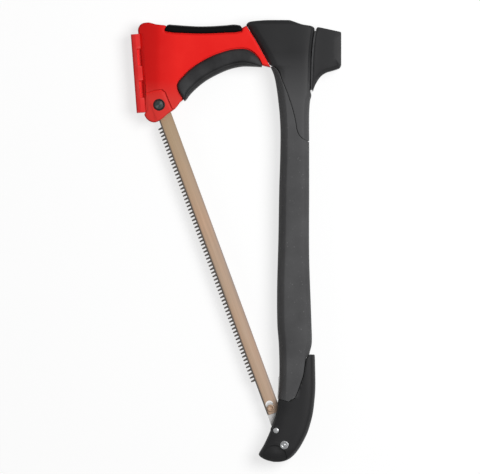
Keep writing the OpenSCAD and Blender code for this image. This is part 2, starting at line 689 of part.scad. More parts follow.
module edge_guard() {
    window = (guard_length - 3 * tab_length) / 2;
    color("#ee4a40") lying() along_guard() {
        rotate([90, 0, 0]) linear_extrude(guard_length) guard_section(guard_thick / 2);
        translate([rim_width / 2, -guard_length, -guard_floor / 2])
            cube([guard_width - rim_width / 2, guard_length, guard_floor]);
        translate([rim_width, -guard_length, -guard_web_half])
            cube([guard_width + guard_web - rim_width, guard_length, 2 * guard_web_half]);
        for (k = [0 : 2])
            translate([rim_width / 2, -(k + 1) * tab_length - k * window, -guard_thick / 2])
                cube([guard_width - rim_width / 2, tab_length, guard_thick]);
    }
}

// A pad between two edges: rows run along it, and each section arches over the sheath
module pad(near, far, half, n) {
    last = len(near) - 1;
    loft([for (i = [0 : last]) let (end = min(i, last - i) / last,
        rise = tongue_half + 1.2 + (half - tongue_half - 1.2) * min(1, sqrt(end * 6)))
        [near[i] + pad_gap * unit(far[i] - near[i]), far[i], -1, 1, rise, n]], 8);
}
pad_gap = 0.3;
pad_seat = tongue_half + 0.7;
module tongue_plan() { polygon(inset(sheath_outline(tongue_share), -press_gap)); }

module lower_grip_pad() {
    color("#1d1e1f") lying() difference() {
        pad(crescent_upper, crescent_lower, lower_pad_thick / 2, 3.4);
        slab(-pad_seat, pad_seat) tongue_plan();
    }
}

module top_grip_pad() {
    color("#1d1e1f") lying() difference() {
        pad(strip_lower, strip_upper, top_pad_thick / 2, 3);
        slab(-pad_seat, pad_seat) tongue_plan();
    }
}

// ---------------------------------------------------------------- blade anchor

pin_end = sheath_half - pocket_depth + 0.2;
collar_top = sheath_half - pocket_depth + 0.6;
collar_low = sheath_half - pocket_depth - collar_seat;

module anchor_pin() {
    color("#5d6b66") lying() rods([anchor], anchor_r, -pin_end, pin_end);
}

module anchor_collars() {
    color("#181818") lying() for (side = [0, 1]) mirror([0, 0, side]) difference() {
        rods([anchor], collar_r, collar_low, collar_top);
        rods([anchor], anchor_r + press_gap, 0, head_half);
    }
}

washer_r = 8.5;
module anchor_bushings() {
    color("#303030") lying() for (side = [0, 1]) mirror([0, 0, side]) difference() {
        rods([anchor], washer_r, blade_thick / 2 + 0.2, slot_half);
        rods([anchor], anchor_r + press_gap, 0, head_half);
    }
}

// ---------------------------------------------------------------- lever and link

lever_rows_y = [for (d = [-37.3, -36.6, -35.2, -32.8, -29.5, -25, -19, -12, -4, 5, 14, 22, 29,
    36, 42, 47, 54, 62, 71, 80, 86, 89.2]) tail + d];
function toe_crown(y) = y > tail - 20 ? 1 : sqrt(1 - ((tail - 20 - y) / 19.5) ^ 2);
function lever_outer_left(y) = y < handle_foot_y ? edge(lever_left, y) : edge(handle_left, y);
function lever_row(y) = [[lever_outer_left(y), y], [edge(lever_right, y), y], -1, 1,
    lever_half * toe_crown(y), 4];

// The room that the lever leaves for the grip and its foot, as the lever swings
tail_seam_y = [for (d = [33.5, 34.2, 35, 35.8, 36.4, 36.9, 37.5, 38.5, 40, 42.5, 47, 53, 59, 65, 72,
    80, 83, 86, 87.5, 89, 90]) tail + d];
module grip_room() {
    slab(-lever_clear, lever_clear) polygon(concat(
        [for (a = [-9 : 3 : 24]) pivot + (grip_foot_r - seam_gap) * [sin(a), cos(a)]],
        [for (y = tail_seam_y) [edge(tail_seam, y) + seam_gap, y]],
        [[30, tail + 90]]));
}

// The groove for the grip's tongue is open at both ends, so that the lever swings off it
module tongue_groove() {
    low = tail + 36.5;
    high = tail + 90;
    rows = concat([low], tongue_y, [high]);
    slab(-seam_tongue_half - side_gap, seam_tongue_half + side_gap) polygon(concat(
        [for (y = rows) [edge(tail_seam, y) + seam_tongue_reach + 2 * side_gap, y]],
        [for (y = reversed(rows)) [edge(tail_seam, y) - 1, y]]));
}

// The channel inside the lever, open to the front, where the fork and the link swing
channel = [[-40, 40], [17.5, 40], [17.5, 33], [36, 33], [35, 20], [31, 5], [24, -10], [16, -21],
    [8, -25.5], [4, -25.5], [-40, -14]];

pin_head_r = 5;
pin_head_h = 1.6;
stud_end = lever_half - 1.6;

module tension_lever() {
    color("#333536") lying() difference() {
        loft([for (y = lever_rows_y) lever_row(y)], 14);
        grip_room();
        tongue_groove();
        slab(-channel_half, channel_half) translate(pivot) polygon(channel);
        rods([pivot], pivot_r + running_gap, -lever_clear, lever_clear);
        for (side = [0, 1]) mirror([0, 0, side]) {
            rods([pivot], pivot_r + 0.8 + side_gap, stud_end - 1.2 - side_gap, lever_clear);
            rods([crank_pin], pin_head_r + side_gap, lever_half - pin_head_h, lever_clear);
        }
        rods([crank_pin], link_pin_r + press_gap, -lever_clear, lever_clear);
    }
}

module lever_pivot_studs() {
    color("silver") lying() for (side = [0, 1]) mirror([0, 0, side]) {
        rods([pivot], pivot_r, fork_slot / 2 + 0.1, stud_end - 1.2);
        rods([pivot], pivot_r + 0.8, stud_end - 1.2, stud_end);
    }
}

module link_pin() {
    color("silver") lying() {
        rods([crank_pin], link_pin_r, -lever_half + 0.6, lever_half - pin_head_h);
        rods([crank_pin], pin_head_r, lever_half - pin_head_h, lever_half + 0.2);
    }
}

module link_pin_nut() {
    color("gray") lying() difference() {
        rods([crank_pin], pin_head_r - 0.2, -lever_half, -lever_half + pin_head_h);
        rods([crank_pin], link_pin_r + press_gap, -lever_clear, 0);
    }
}

link_top = -blade_thick / 2 - 0.3;
link_low = link_top - link_thick;

module link_spacers() {
    color("gray") lying() difference() {
        union() {
            rods([crank_pin], link_pin_r + 2, link_top + 0.2, channel_half - 0.1);
            rods([crank_pin], link_pin_r + 2, -channel_half + 0.1, link_low - 0.2);
        }
        rods([crank_pin], link_pin_r + press_gap, -lever_clear, lever_clear);
    }
}

module tension_link() {
    color("lightgray") lying() difference() {
        on_blade() slab(link_low, link_top) {
            translate([blade_pitch, 0]) circle(r = link_width / 2);
            translate([blade_pitch, -link_width / 2]) square([link_length, link_width]);
            translate([blade_pitch + link_length, 0]) circle(r = link_width / 2);
        }
        rods([crank_pin], link_pin_r + running_gap, -head_half, head_half);
        rods([seat], stud_r + press_gap, -head_half, head_half);
    }
}

stud_neck_top = blade_thick / 2 + 0.4;

module blade_stud() {
    color("silver") lying() {
        rods([seat], stud_r, link_low, stud_neck_top);
        rods([seat], stud_head_r, stud_neck_top, stud_neck_top + 1.5);
    }
}

// ---------------------------------------------------------------- blade

tooth_count = floor((blade_pitch - teeth_start - teeth_end) / tooth_pitch);
keyhole_travel = 4.4;

// A tooth is a finger that leans towards the butt: where its root and its tip begin and end,
// as shares of the pitch
tooth_root = [0.08, 0.7];
tooth_tip = [0.32, 0.68];
function tooth(k) = let (a = teeth_start + k * tooth_pitch, tip_y = -blade_front - tooth_height)
    [[a + tooth_root[0] * tooth_pitch, -blade_front], [a + tooth_tip[0] * tooth_pitch, tip_y],
    [a + tooth_tip[1] * tooth_pitch, tip_y], [a + tooth_root[1] * tooth_pitch, -blade_front]];

module saw_blade() {
    color("#b89a7c") lying() on_blade() slab(-blade_thick / 2, blade_thick / 2) difference() {
        polygon(concat(
            [[-8.5, 3], [-6, -blade_front]],
            [for (k = [0 : tooth_count - 1]) each tooth(k)],
            [[blade_pitch + 5.5, -blade_front], [blade_pitch + 7, -blade_front + 2],
                [blade_pitch + 7, blade_back - 5], [blade_pitch + 4, blade_back],
                [-3, blade_back], [-8.5, blade_back - 4]]));
        circle(r = anchor_r + running_gap);
        translate([blade_pitch, 0]) circle(r = stud_r + keyhole_room);
        translate([blade_pitch - keyhole_travel, -stud_r - keyhole_room])
            square([keyhole_travel, 2 * (stud_r + keyhole_room)]);
        translate([blade_pitch - keyhole_travel, 0]) circle(r = stud_head_r + 0.4);
    }
}

hatchet_head();
hatchet_pins();
head_housing_left();
head_housing_right();
housing_screws();
mallet_head();
mallet_pins();
handle_core_left();
handle_core_right();
core_screws();
grip_sleeve();
sheath_left();
sheath_right();
sheath_screws();
edge_guard();
top_grip_pad();
lower_grip_pad();
anchor_pin();
anchor_collars();
anchor_bushings();
lever_pivot_studs();
lever_catch();
tension_lever();
link_pin();
link_pin_nut();
link_spacers();
tension_link();
blade_stud();
saw_blade();
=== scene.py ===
import json
import math

import bmesh
import bpy
import numpy as np
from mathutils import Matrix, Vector
from mathutils.geometry import delaunay_2d_cdt


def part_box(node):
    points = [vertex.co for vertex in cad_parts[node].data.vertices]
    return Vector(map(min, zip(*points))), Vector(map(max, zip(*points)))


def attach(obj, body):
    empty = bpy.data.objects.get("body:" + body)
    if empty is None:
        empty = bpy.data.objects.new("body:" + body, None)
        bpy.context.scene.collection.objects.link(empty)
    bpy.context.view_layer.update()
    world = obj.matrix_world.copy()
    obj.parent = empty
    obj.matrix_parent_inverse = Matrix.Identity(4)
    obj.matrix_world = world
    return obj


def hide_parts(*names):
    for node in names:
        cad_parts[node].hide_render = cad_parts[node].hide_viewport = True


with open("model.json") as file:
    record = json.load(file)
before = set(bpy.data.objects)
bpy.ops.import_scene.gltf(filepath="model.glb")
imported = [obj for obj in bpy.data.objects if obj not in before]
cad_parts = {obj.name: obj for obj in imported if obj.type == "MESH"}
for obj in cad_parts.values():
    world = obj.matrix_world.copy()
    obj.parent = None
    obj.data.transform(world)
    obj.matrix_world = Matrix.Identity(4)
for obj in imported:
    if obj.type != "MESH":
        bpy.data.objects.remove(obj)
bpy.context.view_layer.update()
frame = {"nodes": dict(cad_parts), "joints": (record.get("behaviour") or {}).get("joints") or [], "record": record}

# ---------------------------------------------------------------- measures, in millimetres

MM = 0.001
joint_places = {j["name"]: Vector(j["pos_m"]) / MM for j in frame["joints"]}
pivot = joint_places["lever_swing"]
crank_pin = joint_places["link_swing"]
anchor = joint_places["blade_swing"]
middle = anchor.z
tail = pivot.y


def half_of(node):
    """How far a node reaches above the saw's middle plane."""
    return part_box(node)[1].z / MM - middle


head_half = half_of("mallet_head")
lever_half = half_of("tension_lever")
sheath_half = half_of("sheath_left")
guard_half = half_of("edge_guard")
top_pad_half = half_of("top_grip_pad")
lower_pad_half = half_of("lower_grip_pad")

# The grip is thinner than the head, and the sheath's tongue lies under its pads
grip_half = head_half - 2
tongue_half = sheath_half - 3

# The linkage
stud_seat = sum(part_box("blade_stud"), Vector()) / 2 / MM
along_blade = Vector((crank_pin.x - anchor.x, crank_pin.y - anchor.y)).normalized()
across_blade = Vector((-along_blade.y, along_blade.x))
stud_low, stud_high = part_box("lever_pivot_studs")
stud_rim = 0.8
stud_r = (stud_high.x - stud_low.x) / MM / 2 - stud_rim
link_pin_recess_r = 5.4
anchor_r = 4.72
channel_half = 8.4

# Open joints between the mouldings
seam_gap = 0.4
mallet_gap = 2

# ---------------------------------------------------------------- curves


def unit(v):
    """A vector's direction, with length 1."""
    return v / np.linalg.norm(v)


def smooth(points, steps):
    """A smooth curve through a chain of points, without its last point."""
    p = np.array(points, float)
    last = len(p) - 1
    headings = [unit(p[1] - p[0])]
    for i in range(1, last):
        before, after = p[i] - p[i - 1], p[i + 1] - p[i]
        a, b = np.linalg.norm(before), np.linalg.norm(after)
        headings.append(unit(before / a * b + after / b * a))
    headings.append(unit(p[last] - p[last - 1]))
    curve = []
    for i in range(last):
        span = np.linalg.norm(p[i + 1] - p[i])
        for k in range(steps):
            t = k / steps
            curve.append((2 * t**3 - 3 * t**2 + 1) * p[i] + (t**3 - 2 * t**2 + t) * span * headings[i]
                         + (3 * t**2 - 2 * t**3) * p[i + 1] + (t**3 - t**2) * span * headings[i + 1])
    return curve


def edge(table, y):
    """The side-to-side place of an edge at height y, smooth through a list of (y, x) pairs."""
    last = len(table) - 1
    i = 0
    while i < last - 1 and y > table[i + 1][0]:
        i += 1

    def slope(k):
        """How fast the edge moves across at the list's pair k."""
        a, b = max(k - 1, 0), min(k + 1, last)
        return (table[b][1] - table[a][1]) / (table[b][0] - table[a][0])

    (y0, x0), (y1, x1) = table[i], table[i + 1]
    h = y1 - y0
    t = (y - y0) / h
    return ((2 * t**3 - 3 * t**2 + 1) * x0 + (t**3 - 2 * t**2 + t) * h * slope(i)
            + (3 * t**2 - 2 * t**3) * x1 + (t**3 - t**2) * h * slope(i + 1))


def lerp(a, b, t):
    """The value a share t of the way from a to b."""
    return a + (b - a) * t


def ease(low, high, value):
    """0 below low, 1 above high, and a smooth rise between them."""
    t = np.clip((np.asarray(value, float) - low) / (high - low), 0, 1)
    return t * t * (3 - 2 * t)


def fall_off(distance, width, power=1.0):
    """1 at an edge, falling to 0 at a width from it."""
    return np.clip(1 - distance / width, 0, 1) ** power


def ripple(distance, width):
    """1 on a line, falling to 0 on both sides of it."""
    return np.exp(-((distance / width) ** 2))


def rounding(distance, radius):
    """How far a rim that is rounded to a radius lies below its face, at a distance from its edge."""
    t = fall_off(distance, radius)
    return radius * (1 - np.sqrt(1 - t * t))


def inset(outline, distance):
    """An anticlockwise outline moved inwards. distance may differ from point to point."""
    p = np.array(outline, float)
    u = p - np.roll(p, 1, axis=0)
    v = np.roll(p, -1, axis=0) - p
    u /= np.linalg.norm(u, axis=1)[:, None]
    v /= np.linalg.norm(v, axis=1)[:, None]
    side = np.stack([-(u[:, 1] + v[:, 1]), u[:, 0] + v[:, 0]], 1)
    stretch = np.maximum(1 + (u * v).sum(1), 0.5)
    return p + side / stretch[:, None] * np.reshape(distance, (-1, 1))


def depth_inside(points, outline):
    """Distance of each point from an outline, positive inside it."""
    p = np.array(points, float)[:, None, :]
    a = np.array(outline, float)
    b = np.roll(a, -1, axis=0)
    d = b - a
    t = np.clip(((p - a) * d).sum(2) / np.maximum((d * d).sum(1), 1e-12), 0, 1)
    gap = np.linalg.norm(p - (a + t[..., None] * d), axis=2).min(1)
    x, y = p[:, :, 0], p[:, :, 1]
    crosses = (a[:, 1] > y) != (b[:, 1] > y)
    rise = np.where(np.abs(d[:, 1]) < 1e-12, 1e-12, d[:, 1])
    inside = (crosses & (x < a[:, 0] + (y - a[:, 1]) / rise * d[:, 0])).sum(1) % 2 == 1
    return np.where(inside, gap, -gap)


# ---------------------------------------------------------------- outlines, as the moulds give them

# How far the grip's round foot lies from the pivot, and the heights where one edge meets the next
grip_foot_r = 36.8
handle_foot = tail + 36
handle_top = 205
housing_foot = 117
sheath_top = 254.5


def from_pivot(pairs):
    """Pairs of a height and a place across, with the heights counted from the pivot."""
    return [(tail + height, x) for height, x in pairs]


# The sides of the handle, head and lever, as pairs of a height and a place across
handle_left = from_pivot([(36, 50.3), (55, 51.3), (75, 51.8), (102, 51), (125, 49.3), (165, 49),
                          (225, 50.5)]) + [
    (60, 51.5), (100, 52.7), (130, 53), (150, 52), (160, 51), (180, 48.5), (195, 45.5),
    (205, 41.5)]
handle_right = from_pivot([(36, 86), (88, 87), (102, 90), (125, 89.7), (145, 89), (205, 87)]) + [
    (60, 87), (150, 87), (158, 87.2)]
head_seam = [(116, 88.5), (117, 86), (120, 80), (124, 75.5), (130, 72.5), (140, 70.8),
             (150, 68.6), (160, 65.8), (174, 61), (189, 55), (199, 51), (204, 47), (207.5, 41)]
tail_seam = from_pivot([(33.4, 62.2), (35, 64.4), (36.4, 66), (37.5, 69), (42.5, 72), (53, 76),
                        (65, 80), (80, 82.5), (86, 84), (89, 87.2)])
sheath_line = [(200, 43.5), (205, 41.5), (217, 35), (235, 25), (251, 15), (254.5, 12.6)]
housing_top_left = [(254.5, 12.6), (256, 13.2), (258.5, 17), (259.8, 27), (260.5, 38), (260.8, 46)]
housing_right = [(116, 87), (150, 87), (165, 88), (172, 89.6), (176, 88.4), (180, 88.7),
                 (212, 89.5), (227, 90.5), (240, 92), (249, 93.3), (251.5, 92.6), (253.5, 89),
                 (255, 80), (256.5, 75), (258.3, 70), (260, 65), (260.8, 61)]
lever_left = from_pivot([(-37.5, 46), (-36.7, 42), (-35, 36), (-32.5, 31), (-30, 28), (-28, 27.4),
                         (-25, 28.8), (-19.7, 32), (-11.7, 36), (-2.7, 40), (6.3, 43.5),
                         (21.3, 48), (35.7, 50)])
lever_right = from_pivot([(-37.5, 50), (-36.9, 55), (-35.4, 60), (-32.7, 65), (-28.2, 70),
                          (-21.7, 75), (-13.2, 80), (-2.7, 85), (8.3, 88.5), (18.3, 91),
                          (28.3, 92.5), (48.3, 94.2), (75, 94), (88, 93.6), (89.5, 93)])

# The edges of the pads, the guard and the pocket round the anchor, as places across and along
arch_upper = [(-62.5, 168.5), (-66.5, 175), (-69.3, 184), (-60, 197.5), (-40, 213), (-20, 222.3),
              (0, 227.3), (15, 226.5), (26.5, 217.5), (31.5, 208.5)]
arch_lower = [(-59.8, 164.6), (-57.4, 167), (-55, 170.5), (-47.5, 178.5), (-36, 188), (-22, 196),
              (-5, 203), (7, 205.5), (20, 205.6), (31, 205)]
strip_lower = [(7.8, 250), (7.4, 247.2), (3, 245.6), (-12, 244.6), (-26, 243.9), (-42, 243.6),
               (-62, 244.2), (-77, 245.4), (-83.6, 247.6), (-81.9, 252)]
strip_upper = [(7, 252.6), (5.6, 254), (2, 255), (-12, 254.4), (-26, 253.5), (-42, 253.1),
               (-60, 254), (-74, 255), (-79, 255.2), (-80.4, 254.6)]
guard_top = np.array((-123.5, 243.5))
guard_foot = np.array((-116.5, 151))
guard_width = 10.3
guard_length = np.linalg.norm(guard_top - guard_foot)
guard_down = unit(guard_foot - guard_top)
guard_in = np.array((-guard_down[1], guard_down[0]))
anchor_pocket = [(-110, 135), (-73, 135), (-73, 151.5), (-79, 165.5), (-83, 175), (-86.5, 178.2),
                 (-95, 177.3), (-104, 174.5), (-110, 172)]
band_line = [(-99.9, 161.5), (-98.2, 155.5), (-93.6, 143.2)]
band_places = ([y for _, y in band_line[::-1]], [x for x, _ in band_line[::-1]])


def beside_guard(y):
    """The sheath's place just inside the edge guard, at height y."""
    down = (guard_top[1] - y) / -guard_down[1]
    at = guard_top + guard_down * down + guard_in * (guard_width + 0.1)
    return (at[0] + (y - at[1]) * guard_down[0] / guard_down[1], y)


def pad_edge(points, steps):
    """A pad's edge, with its last point."""
    return np.array(smooth(points, steps) + [np.array(points[-1], float)])


def sheath_outline(share):
    """The sheath, anticlockwise from its lower front corner. It reaches under the pads by a share
    of their width."""
    foot = smooth([beside_guard(151.5), (-107.3, 149.6), (-105.8, 145.4), (-102, 141.7),
                   (-96.4, 139.9), (-88.5, 142.8), (-80, 149.8), (-71, 156.5), (-64.5, 165.2)], 5)
    top = smooth([(-83, 254.2), (-93, 255.3), (-104, 257.6), (-111.5, 255.6), (-115, 249.5),
                  (-114.7, 244.7)], 6)
    arch = lerp(pad_edge(arch_upper, 8), pad_edge(arch_lower, 8), share)
    strip = lerp(pad_edge(strip_lower, 8), pad_edge(strip_upper, 8), share)
    side = [(edge(sheath_line, y) - seam_gap, y) for y in np.linspace(204.8, 253.8, 25)]
    return np.array([*foot, *arch, *side, *strip, *top, (-114.7, 244.7), beside_guard(243.8)])


def mallet_outline():
    """The mallet, anticlockwise from its foot, its back held off the housing."""
    back = [(edge(housing_right, y) + mallet_gap, y) for y in np.arange(250, 180, -5)]
    return np.array([
        *smooth([(91.4, 176.5), (93, 181.5), (96, 187.5), (101, 194.5), (107, 198.6),
                 (114, 200.8), (120.5, 202.8)], 6),
        *smooth([(120.5, 202.8), (123.2, 204.2), (124.5, 207)], 3), (124.5, 207), (124.5, 244.4),
        (124.3, 245.6), (123.4, 246.3), (118, 247.5), (112, 248.8), (106, 250.1), (100, 251.4),
        (97.2, 251.8), (95.9, 251.4), (95.3, 250), *back, (90.7, 179)])


def handle_front(y):
    """The front edge of the handle, carried on past its two ends."""
    return edge(handle_left, min(max(y, handle_foot), handle_top))


def handle_rear(y):
    """The rear edge of the handle, and of the housing above it."""
    return edge(handle_right, max(y, handle_foot)) if y < housing_foot else edge(housing_right, y)


def seam_strip(low, high, back, reach):
    """A strip along the seam between grip and lever."""
    heights = [tail + d for d in np.arange(low, high, 1.5)]
    return ([(edge(tail_seam, y) + reach, y) for y in heights]
            + [(edge(tail_seam, y) - back, y) for y in heights[::-1]])


# ---------------------------------------------------------------- meshes

# How far the points beside a section's edge lie from it
LIPS = (0.0, 0.12, 0.35, 0.75, 1.3, 2.2, 3.2)
# How many points go round a circle, and the angle in degrees above which an edge looks sharp
ROUND = 48
CREASE = 38
# A step that leaves no points of the grid inside an outline
NO_GRID = 1e6
# The slot of each piece made here
own_slots = {}


def put_in_scene(name, data):
    """A new object that holds some data."""
    thing = bpy.data.objects.new(name, data)
    bpy.context.scene.collection.objects.link(thing)
    return thing


def piece(name, points, faces, body, slot, stands_for, crease=CREASE):
    """A named piece from points in millimetres. Its faces are turned outwards."""
    mesh = bpy.data.meshes.new(name)
    mesh.from_pydata([tuple(p) for p in np.array(points, float) * MM], [], faces)
    shell = bmesh.new()
    shell.from_mesh(mesh)
    bmesh.ops.remove_doubles(shell, verts=shell.verts, dist=1e-6)
    bmesh.ops.recalc_face_normals(shell, faces=shell.faces)
    shell.to_mesh(mesh)
    shell.free()
    body_piece = put_in_scene(name, mesh)
    soften(body_piece, crease)
    if body:
        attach(body_piece, body)
        own_slots[name] = slot
    if stands_for:
        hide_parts(*stands_for)
    return body_piece


def soften(body_piece, crease):
    """Smooth shading, with edges left sharp above a crease angle."""
    body_piece.data.shade_smooth()
    body_piece.data.set_sharp_from_angle(angle=math.radians(crease))


def quads_between(above, below):
    """Quads between two loops of equally many points."""
    count = len(above)
    return [(above[k], above[(k + 1) % count], below[(k + 1) % count], below[k])
            for k in range(count)]


def tube(rings, points, ends=True):
    """Quads between rings of equally many points, where ring r starts at r * points, and the two
    end faces."""
    loops = [list(range(r * points, (r + 1) * points)) for r in range(rings)]
    faces = [quad for a, b in zip(loops[:-1], loops[1:]) for quad in quads_between(a, b)]
    return faces + [tuple(loops[0]), tuple(loops[-1])] if ends else faces


def places_across(left, right, full_left, full_right, square, cols):
    """Places across a section, from left to right, closest where the surface turns down."""
    size = min(1, (right - left) / 9)
    lips = np.array(LIPS) * size
    width = full_right - full_left

    def turn(x):
        """The angle round the section at which it reaches x."""
        share = np.clip((2 * x - full_left - full_right) / width, -1, 1)
        return math.acos(-math.copysign(abs(share) ** (square / 2), share))

    a, b = turn(left + lips[-1]), turn(right - lips[-1])
    turns = np.cos(np.linspace(a, b, cols - 2 * len(lips) + 2))
    inner = (full_left + full_right - width * np.sign(turns) * np.abs(turns) ** (2 / square)) / 2
    return np.concatenate([left + lips[:-1], inner, (right - lips[:-1])[::-1]])


def oval_height(share, half, square, flat=0.8):
    """The height of an oval section, from its middle at share 0 to its sides at 1 and -1."""
    return flat + (half - flat) * np.maximum(1 - np.abs(share) ** square, 0) ** (1 / square)


def seam_lip(distance, reach=1.0, depth=0.85):
    """How far a shell's edge turns down towards a seam."""
    return depth / reach * rounding(distance, reach)


def oval_body(name, rows, cols, body, slot, stands_for, detail, half_only=0, crease=CREASE):
    """A body of oval sections along Y. Each row is a dict: y, left, right, the full width's two
    sides, half, square, and how much of a seam lies on each side. detail says how far the face
    lies below the plain oval. half_only is 1 for the upper half, -1 for the lower one and 0 for
    the whole."""
    thinnest, chamfer = 0.25, 0.12
    rings = []
    for row in rows:
        y, left, right = row["y"], row["left"], row["right"]
        first, last = row["full"]
        x = places_across(left, right, first, last, row["square"], cols)
        share = np.clip((2 * x - first - last) / (last - first), -1, 1)
        drop = seam_lip(x - left) * row["seam"][0] + seam_lip(right - x) * row["seam"][1]
        drop = drop + detail(x, y, left, right)
        z = np.maximum(oval_height(share, row["half"], row["square"]) - drop, thinnest)
        top = np.stack([x, np.full_like(x, y), z], 1)
        if half_only:
            ring = [(x[0] + chamfer, y, 0), (x[0], y, chamfer), *top,
                    (x[-1], y, chamfer), (x[-1] - chamfer, y, 0)]
            ring = np.array(ring) * (1, 1, half_only)
        else:
            ring = np.concatenate([top, top[::-1] * (1, 1, -1)])
        rings.append(ring + (0, 0, middle))
    faces = tube(len(rings), len(rings[0]))
    return piece(name, np.concatenate(rings), faces, body, slot, stands_for, crease)


def surface_over(outline, insets, step, near_lines=()):
    """Points and triangles over an outline: its own points first, then closer ones along the rim
    and along lines, and a loose grid between them."""
    ring = np.array(outline, float)
    parts = [ring]
    for distance in insets:
        moved = inset(ring, distance)
        parts.append(moved[depth_inside(moved, ring) > 0.93 * distance])
    rim = max(insets) if insets else 0
    if len(near_lines):
        lines = np.concatenate([np.array(line, float) for line in near_lines])
        lines = lines[depth_inside(lines, ring) > (rim + 0.2 if rim else 0.2)]
        parts.append(lines)
    low, high = ring.min(0), ring.max(0)
    gx, gy = np.meshgrid(np.arange(low[0], high[0], step), np.arange(low[1], high[1], step))
    gx = gx + (np.arange(gx.shape[0]) % 2)[:, None] * step / 2
    grid = np.stack([gx.ravel(), gy.ravel()], 1)
    grid = grid[depth_inside(grid, ring) > rim + step * 0.45]
    if len(near_lines) and len(lines):
        gaps = np.linalg.norm(grid[:, None] - lines[None], axis=2).min(1)
        grid = grid[gaps > step * 0.45]
    parts.append(grid)
    points = np.concatenate(parts)
    count = len(ring)
    loop = [(i, (i + 1) % count) for i in range(count)]
    got = delaunay_2d_cdt([Vector(p) for p in points], loop, [], 1, 1e-5)
    verts = np.array([tuple(v) for v in got[0]])
    own = {source: i for i, sources in enumerate(got[3]) for source in sources}
    return verts, [tuple(f) for f in got[2]], [own[i] for i in range(count)]


def plate(name, outline, height, insets, step, body, slot, stands_for, lines=(), skirt=(),
          whole=True, upper=True):
    """A flat body whose face follows height(points, depth). A whole one has the same face below.
    Otherwise skirt lists the rings (outline, level) from the face's rim to the middle plane."""
    flat, faces, rim = surface_over(outline, insets, step, lines)
    z = height(flat, depth_inside(flat, outline))
    points = [np.column_stack([flat, z])]
    count = len(rim)
    if whole:
        points.append(np.column_stack([flat, -z]))
        faces = faces + [tuple(i + len(flat) for i in reversed(f)) for f in faces]
        faces += quads_between(rim, [i + len(flat) for i in rim])
    else:
        above = list(rim)
        start = len(flat)
        level = z[rim]
        for ring, top in skirt:
            level = np.minimum(level - 0.05, top) if top > 0 else np.zeros(count)
            points.append(np.column_stack([ring, level]))
            below = list(range(start, start + count))
            faces += quads_between(above, below)
            above, start = below, start + count
        _, triangles, own = surface_over(skirt[-1][0], (), NO_GRID)
        faces += [tuple(above[own.index(i)] for i in reversed(t)) for t in triangles]
    points = np.concatenate(points)
    if not upper:
        points = points * (1, 1, -1)
    return piece(name, points + (0, 0, middle), faces, body, slot, stands_for)


def flat_at(level):
    """A face at one level, for a plate."""
    return lambda points, depth: np.full(len(points), level)


def prism(name, outline, low, high):
    """A cutter with a flat outline between two levels."""
    points = [(*p, low) for p in outline] + [(*p, high) for p in outline]
    return piece(name, points, tube(2, len(outline)), None, None, None)


def circle(at, radius):
    """Points round a circle."""
    angles = np.linspace(0, 2 * math.pi, ROUND, endpoint=False)
    return [(at[0] + radius * math.cos(a), at[1] + radius * math.sin(a)) for a in angles]


def cut_away(body_piece, cutters, crease=CREASE):
    """Takes the cutters' space out of a piece and keeps the result as its mesh."""
    for cutter in cutters:
        change = body_piece.modifiers.new("cut", "BOOLEAN")
        change.operation = "DIFFERENCE"
        change.solver = "EXACT"
        change.object = cutter
    graph = bpy.context.evaluated_depsgraph_get()
    done = bpy.data.meshes.new_from_object(body_piece.evaluated_get(graph))
    body_piece.modifiers.clear()
    body_piece.data = done
    for cutter in cutters:
        bpy.data.objects.remove(cutter)
    drop_folds(done)
    soften(body_piece, crease)


def drop_folds(mesh):
    """Takes out the pairs of faces that a cut can leave back to back."""
    shell = bmesh.new()
    shell.from_mesh(mesh)
    bmesh.ops.remove_doubles(shell, verts=shell.verts, dist=5e-7)
    bmesh.ops.triangulate(shell, faces=shell.faces)
    shell.verts.index_update()
    twins = {}
    for face in shell.faces:
        twins.setdefault(frozenset(v.index for v in face.verts), []).append(face)
    folded = [face for group in twins.values() if len(group) > 1 for face in group]
    bmesh.ops.delete(shell, geom=folded, context="FACES")
    shell.to_mesh(mesh)
    shell.free()


def turned(name, at, profile, body, slot, stands_for, sides=(1,), hollow=False):
    """A turned piece about Z at a place, from (radius, level) pairs off the middle plane, on one
    side of that plane or on both. A hollow one has no end faces."""
    points, faces = [], []
    for side in sides:
        start = len(points)
        for radius, level in profile:
            points += [(*p, middle + side * level) for p in circle(at, max(radius, 1e-3))]
        faces += [tuple(i + start for i in f) for f in tube(len(profile), ROUND, not hollow)]
    return piece(name, points, faces, body, slot, stands_for, 30)


# ---------------------------------------------------------------- the head


def body_left(y):
    """The front edge of the handle and of the housing above it."""
    if y < handle_top:
        return edge(handle_left, y)
    return edge(sheath_line, y) if y < sheath_top else edge(housing_top_left, y)


def squareness(y):
    """How square a section is, from the round handle up to the boxy head."""
    return 4.2 + 2.8 * min(max((y - 140) / 70, 0), 1)


def side_slopes(x, y):
    """Broad slopes that run along both sides of the handle's flat face."""
    front = 6.4 * fall_off(x - handle_front(y), 8.5, 1.1)
    rear = lerp(2.6, 4.0, ease(-60, 60, y)) * fall_off(handle_rear(y) - x, 6.5, 1.1)
    depth = front + rear * (1 - ease(166, 178, y))
    return depth * lerp(0.45, 1, ease(handle_foot, handle_foot + 26, y))


def head_half_at(y):
    """Half the housing's thickness, which swells from the grip's and falls off at the crown."""
    crown = 0 if y < 254 else ((y - 254) / 7) ** 2 * 4
    return lerp(grip_half, head_half, min(max((y - 118) / 60, 0), 1)) - crown


def housing_detail(x, y, left, right):
    """A groove along the rear rim, and a broad slope down to the sheath and the grip."""
    groove = 0.75 * ripple(right - x - 3.1, 0.55) * ease(176, 186, y) * (1 - ease(246, 252, y))
    slope = 4.2 * fall_off(x - left, lerp(3, 9.5, ease(186, 212, y)), 1.15)
    slope = slope * ease(188, 208, y) * (1 - 0.7 * ease(250, 258, y))
    return groove + slope + side_slopes(x, y) * (1 - ease(196, 208, y))


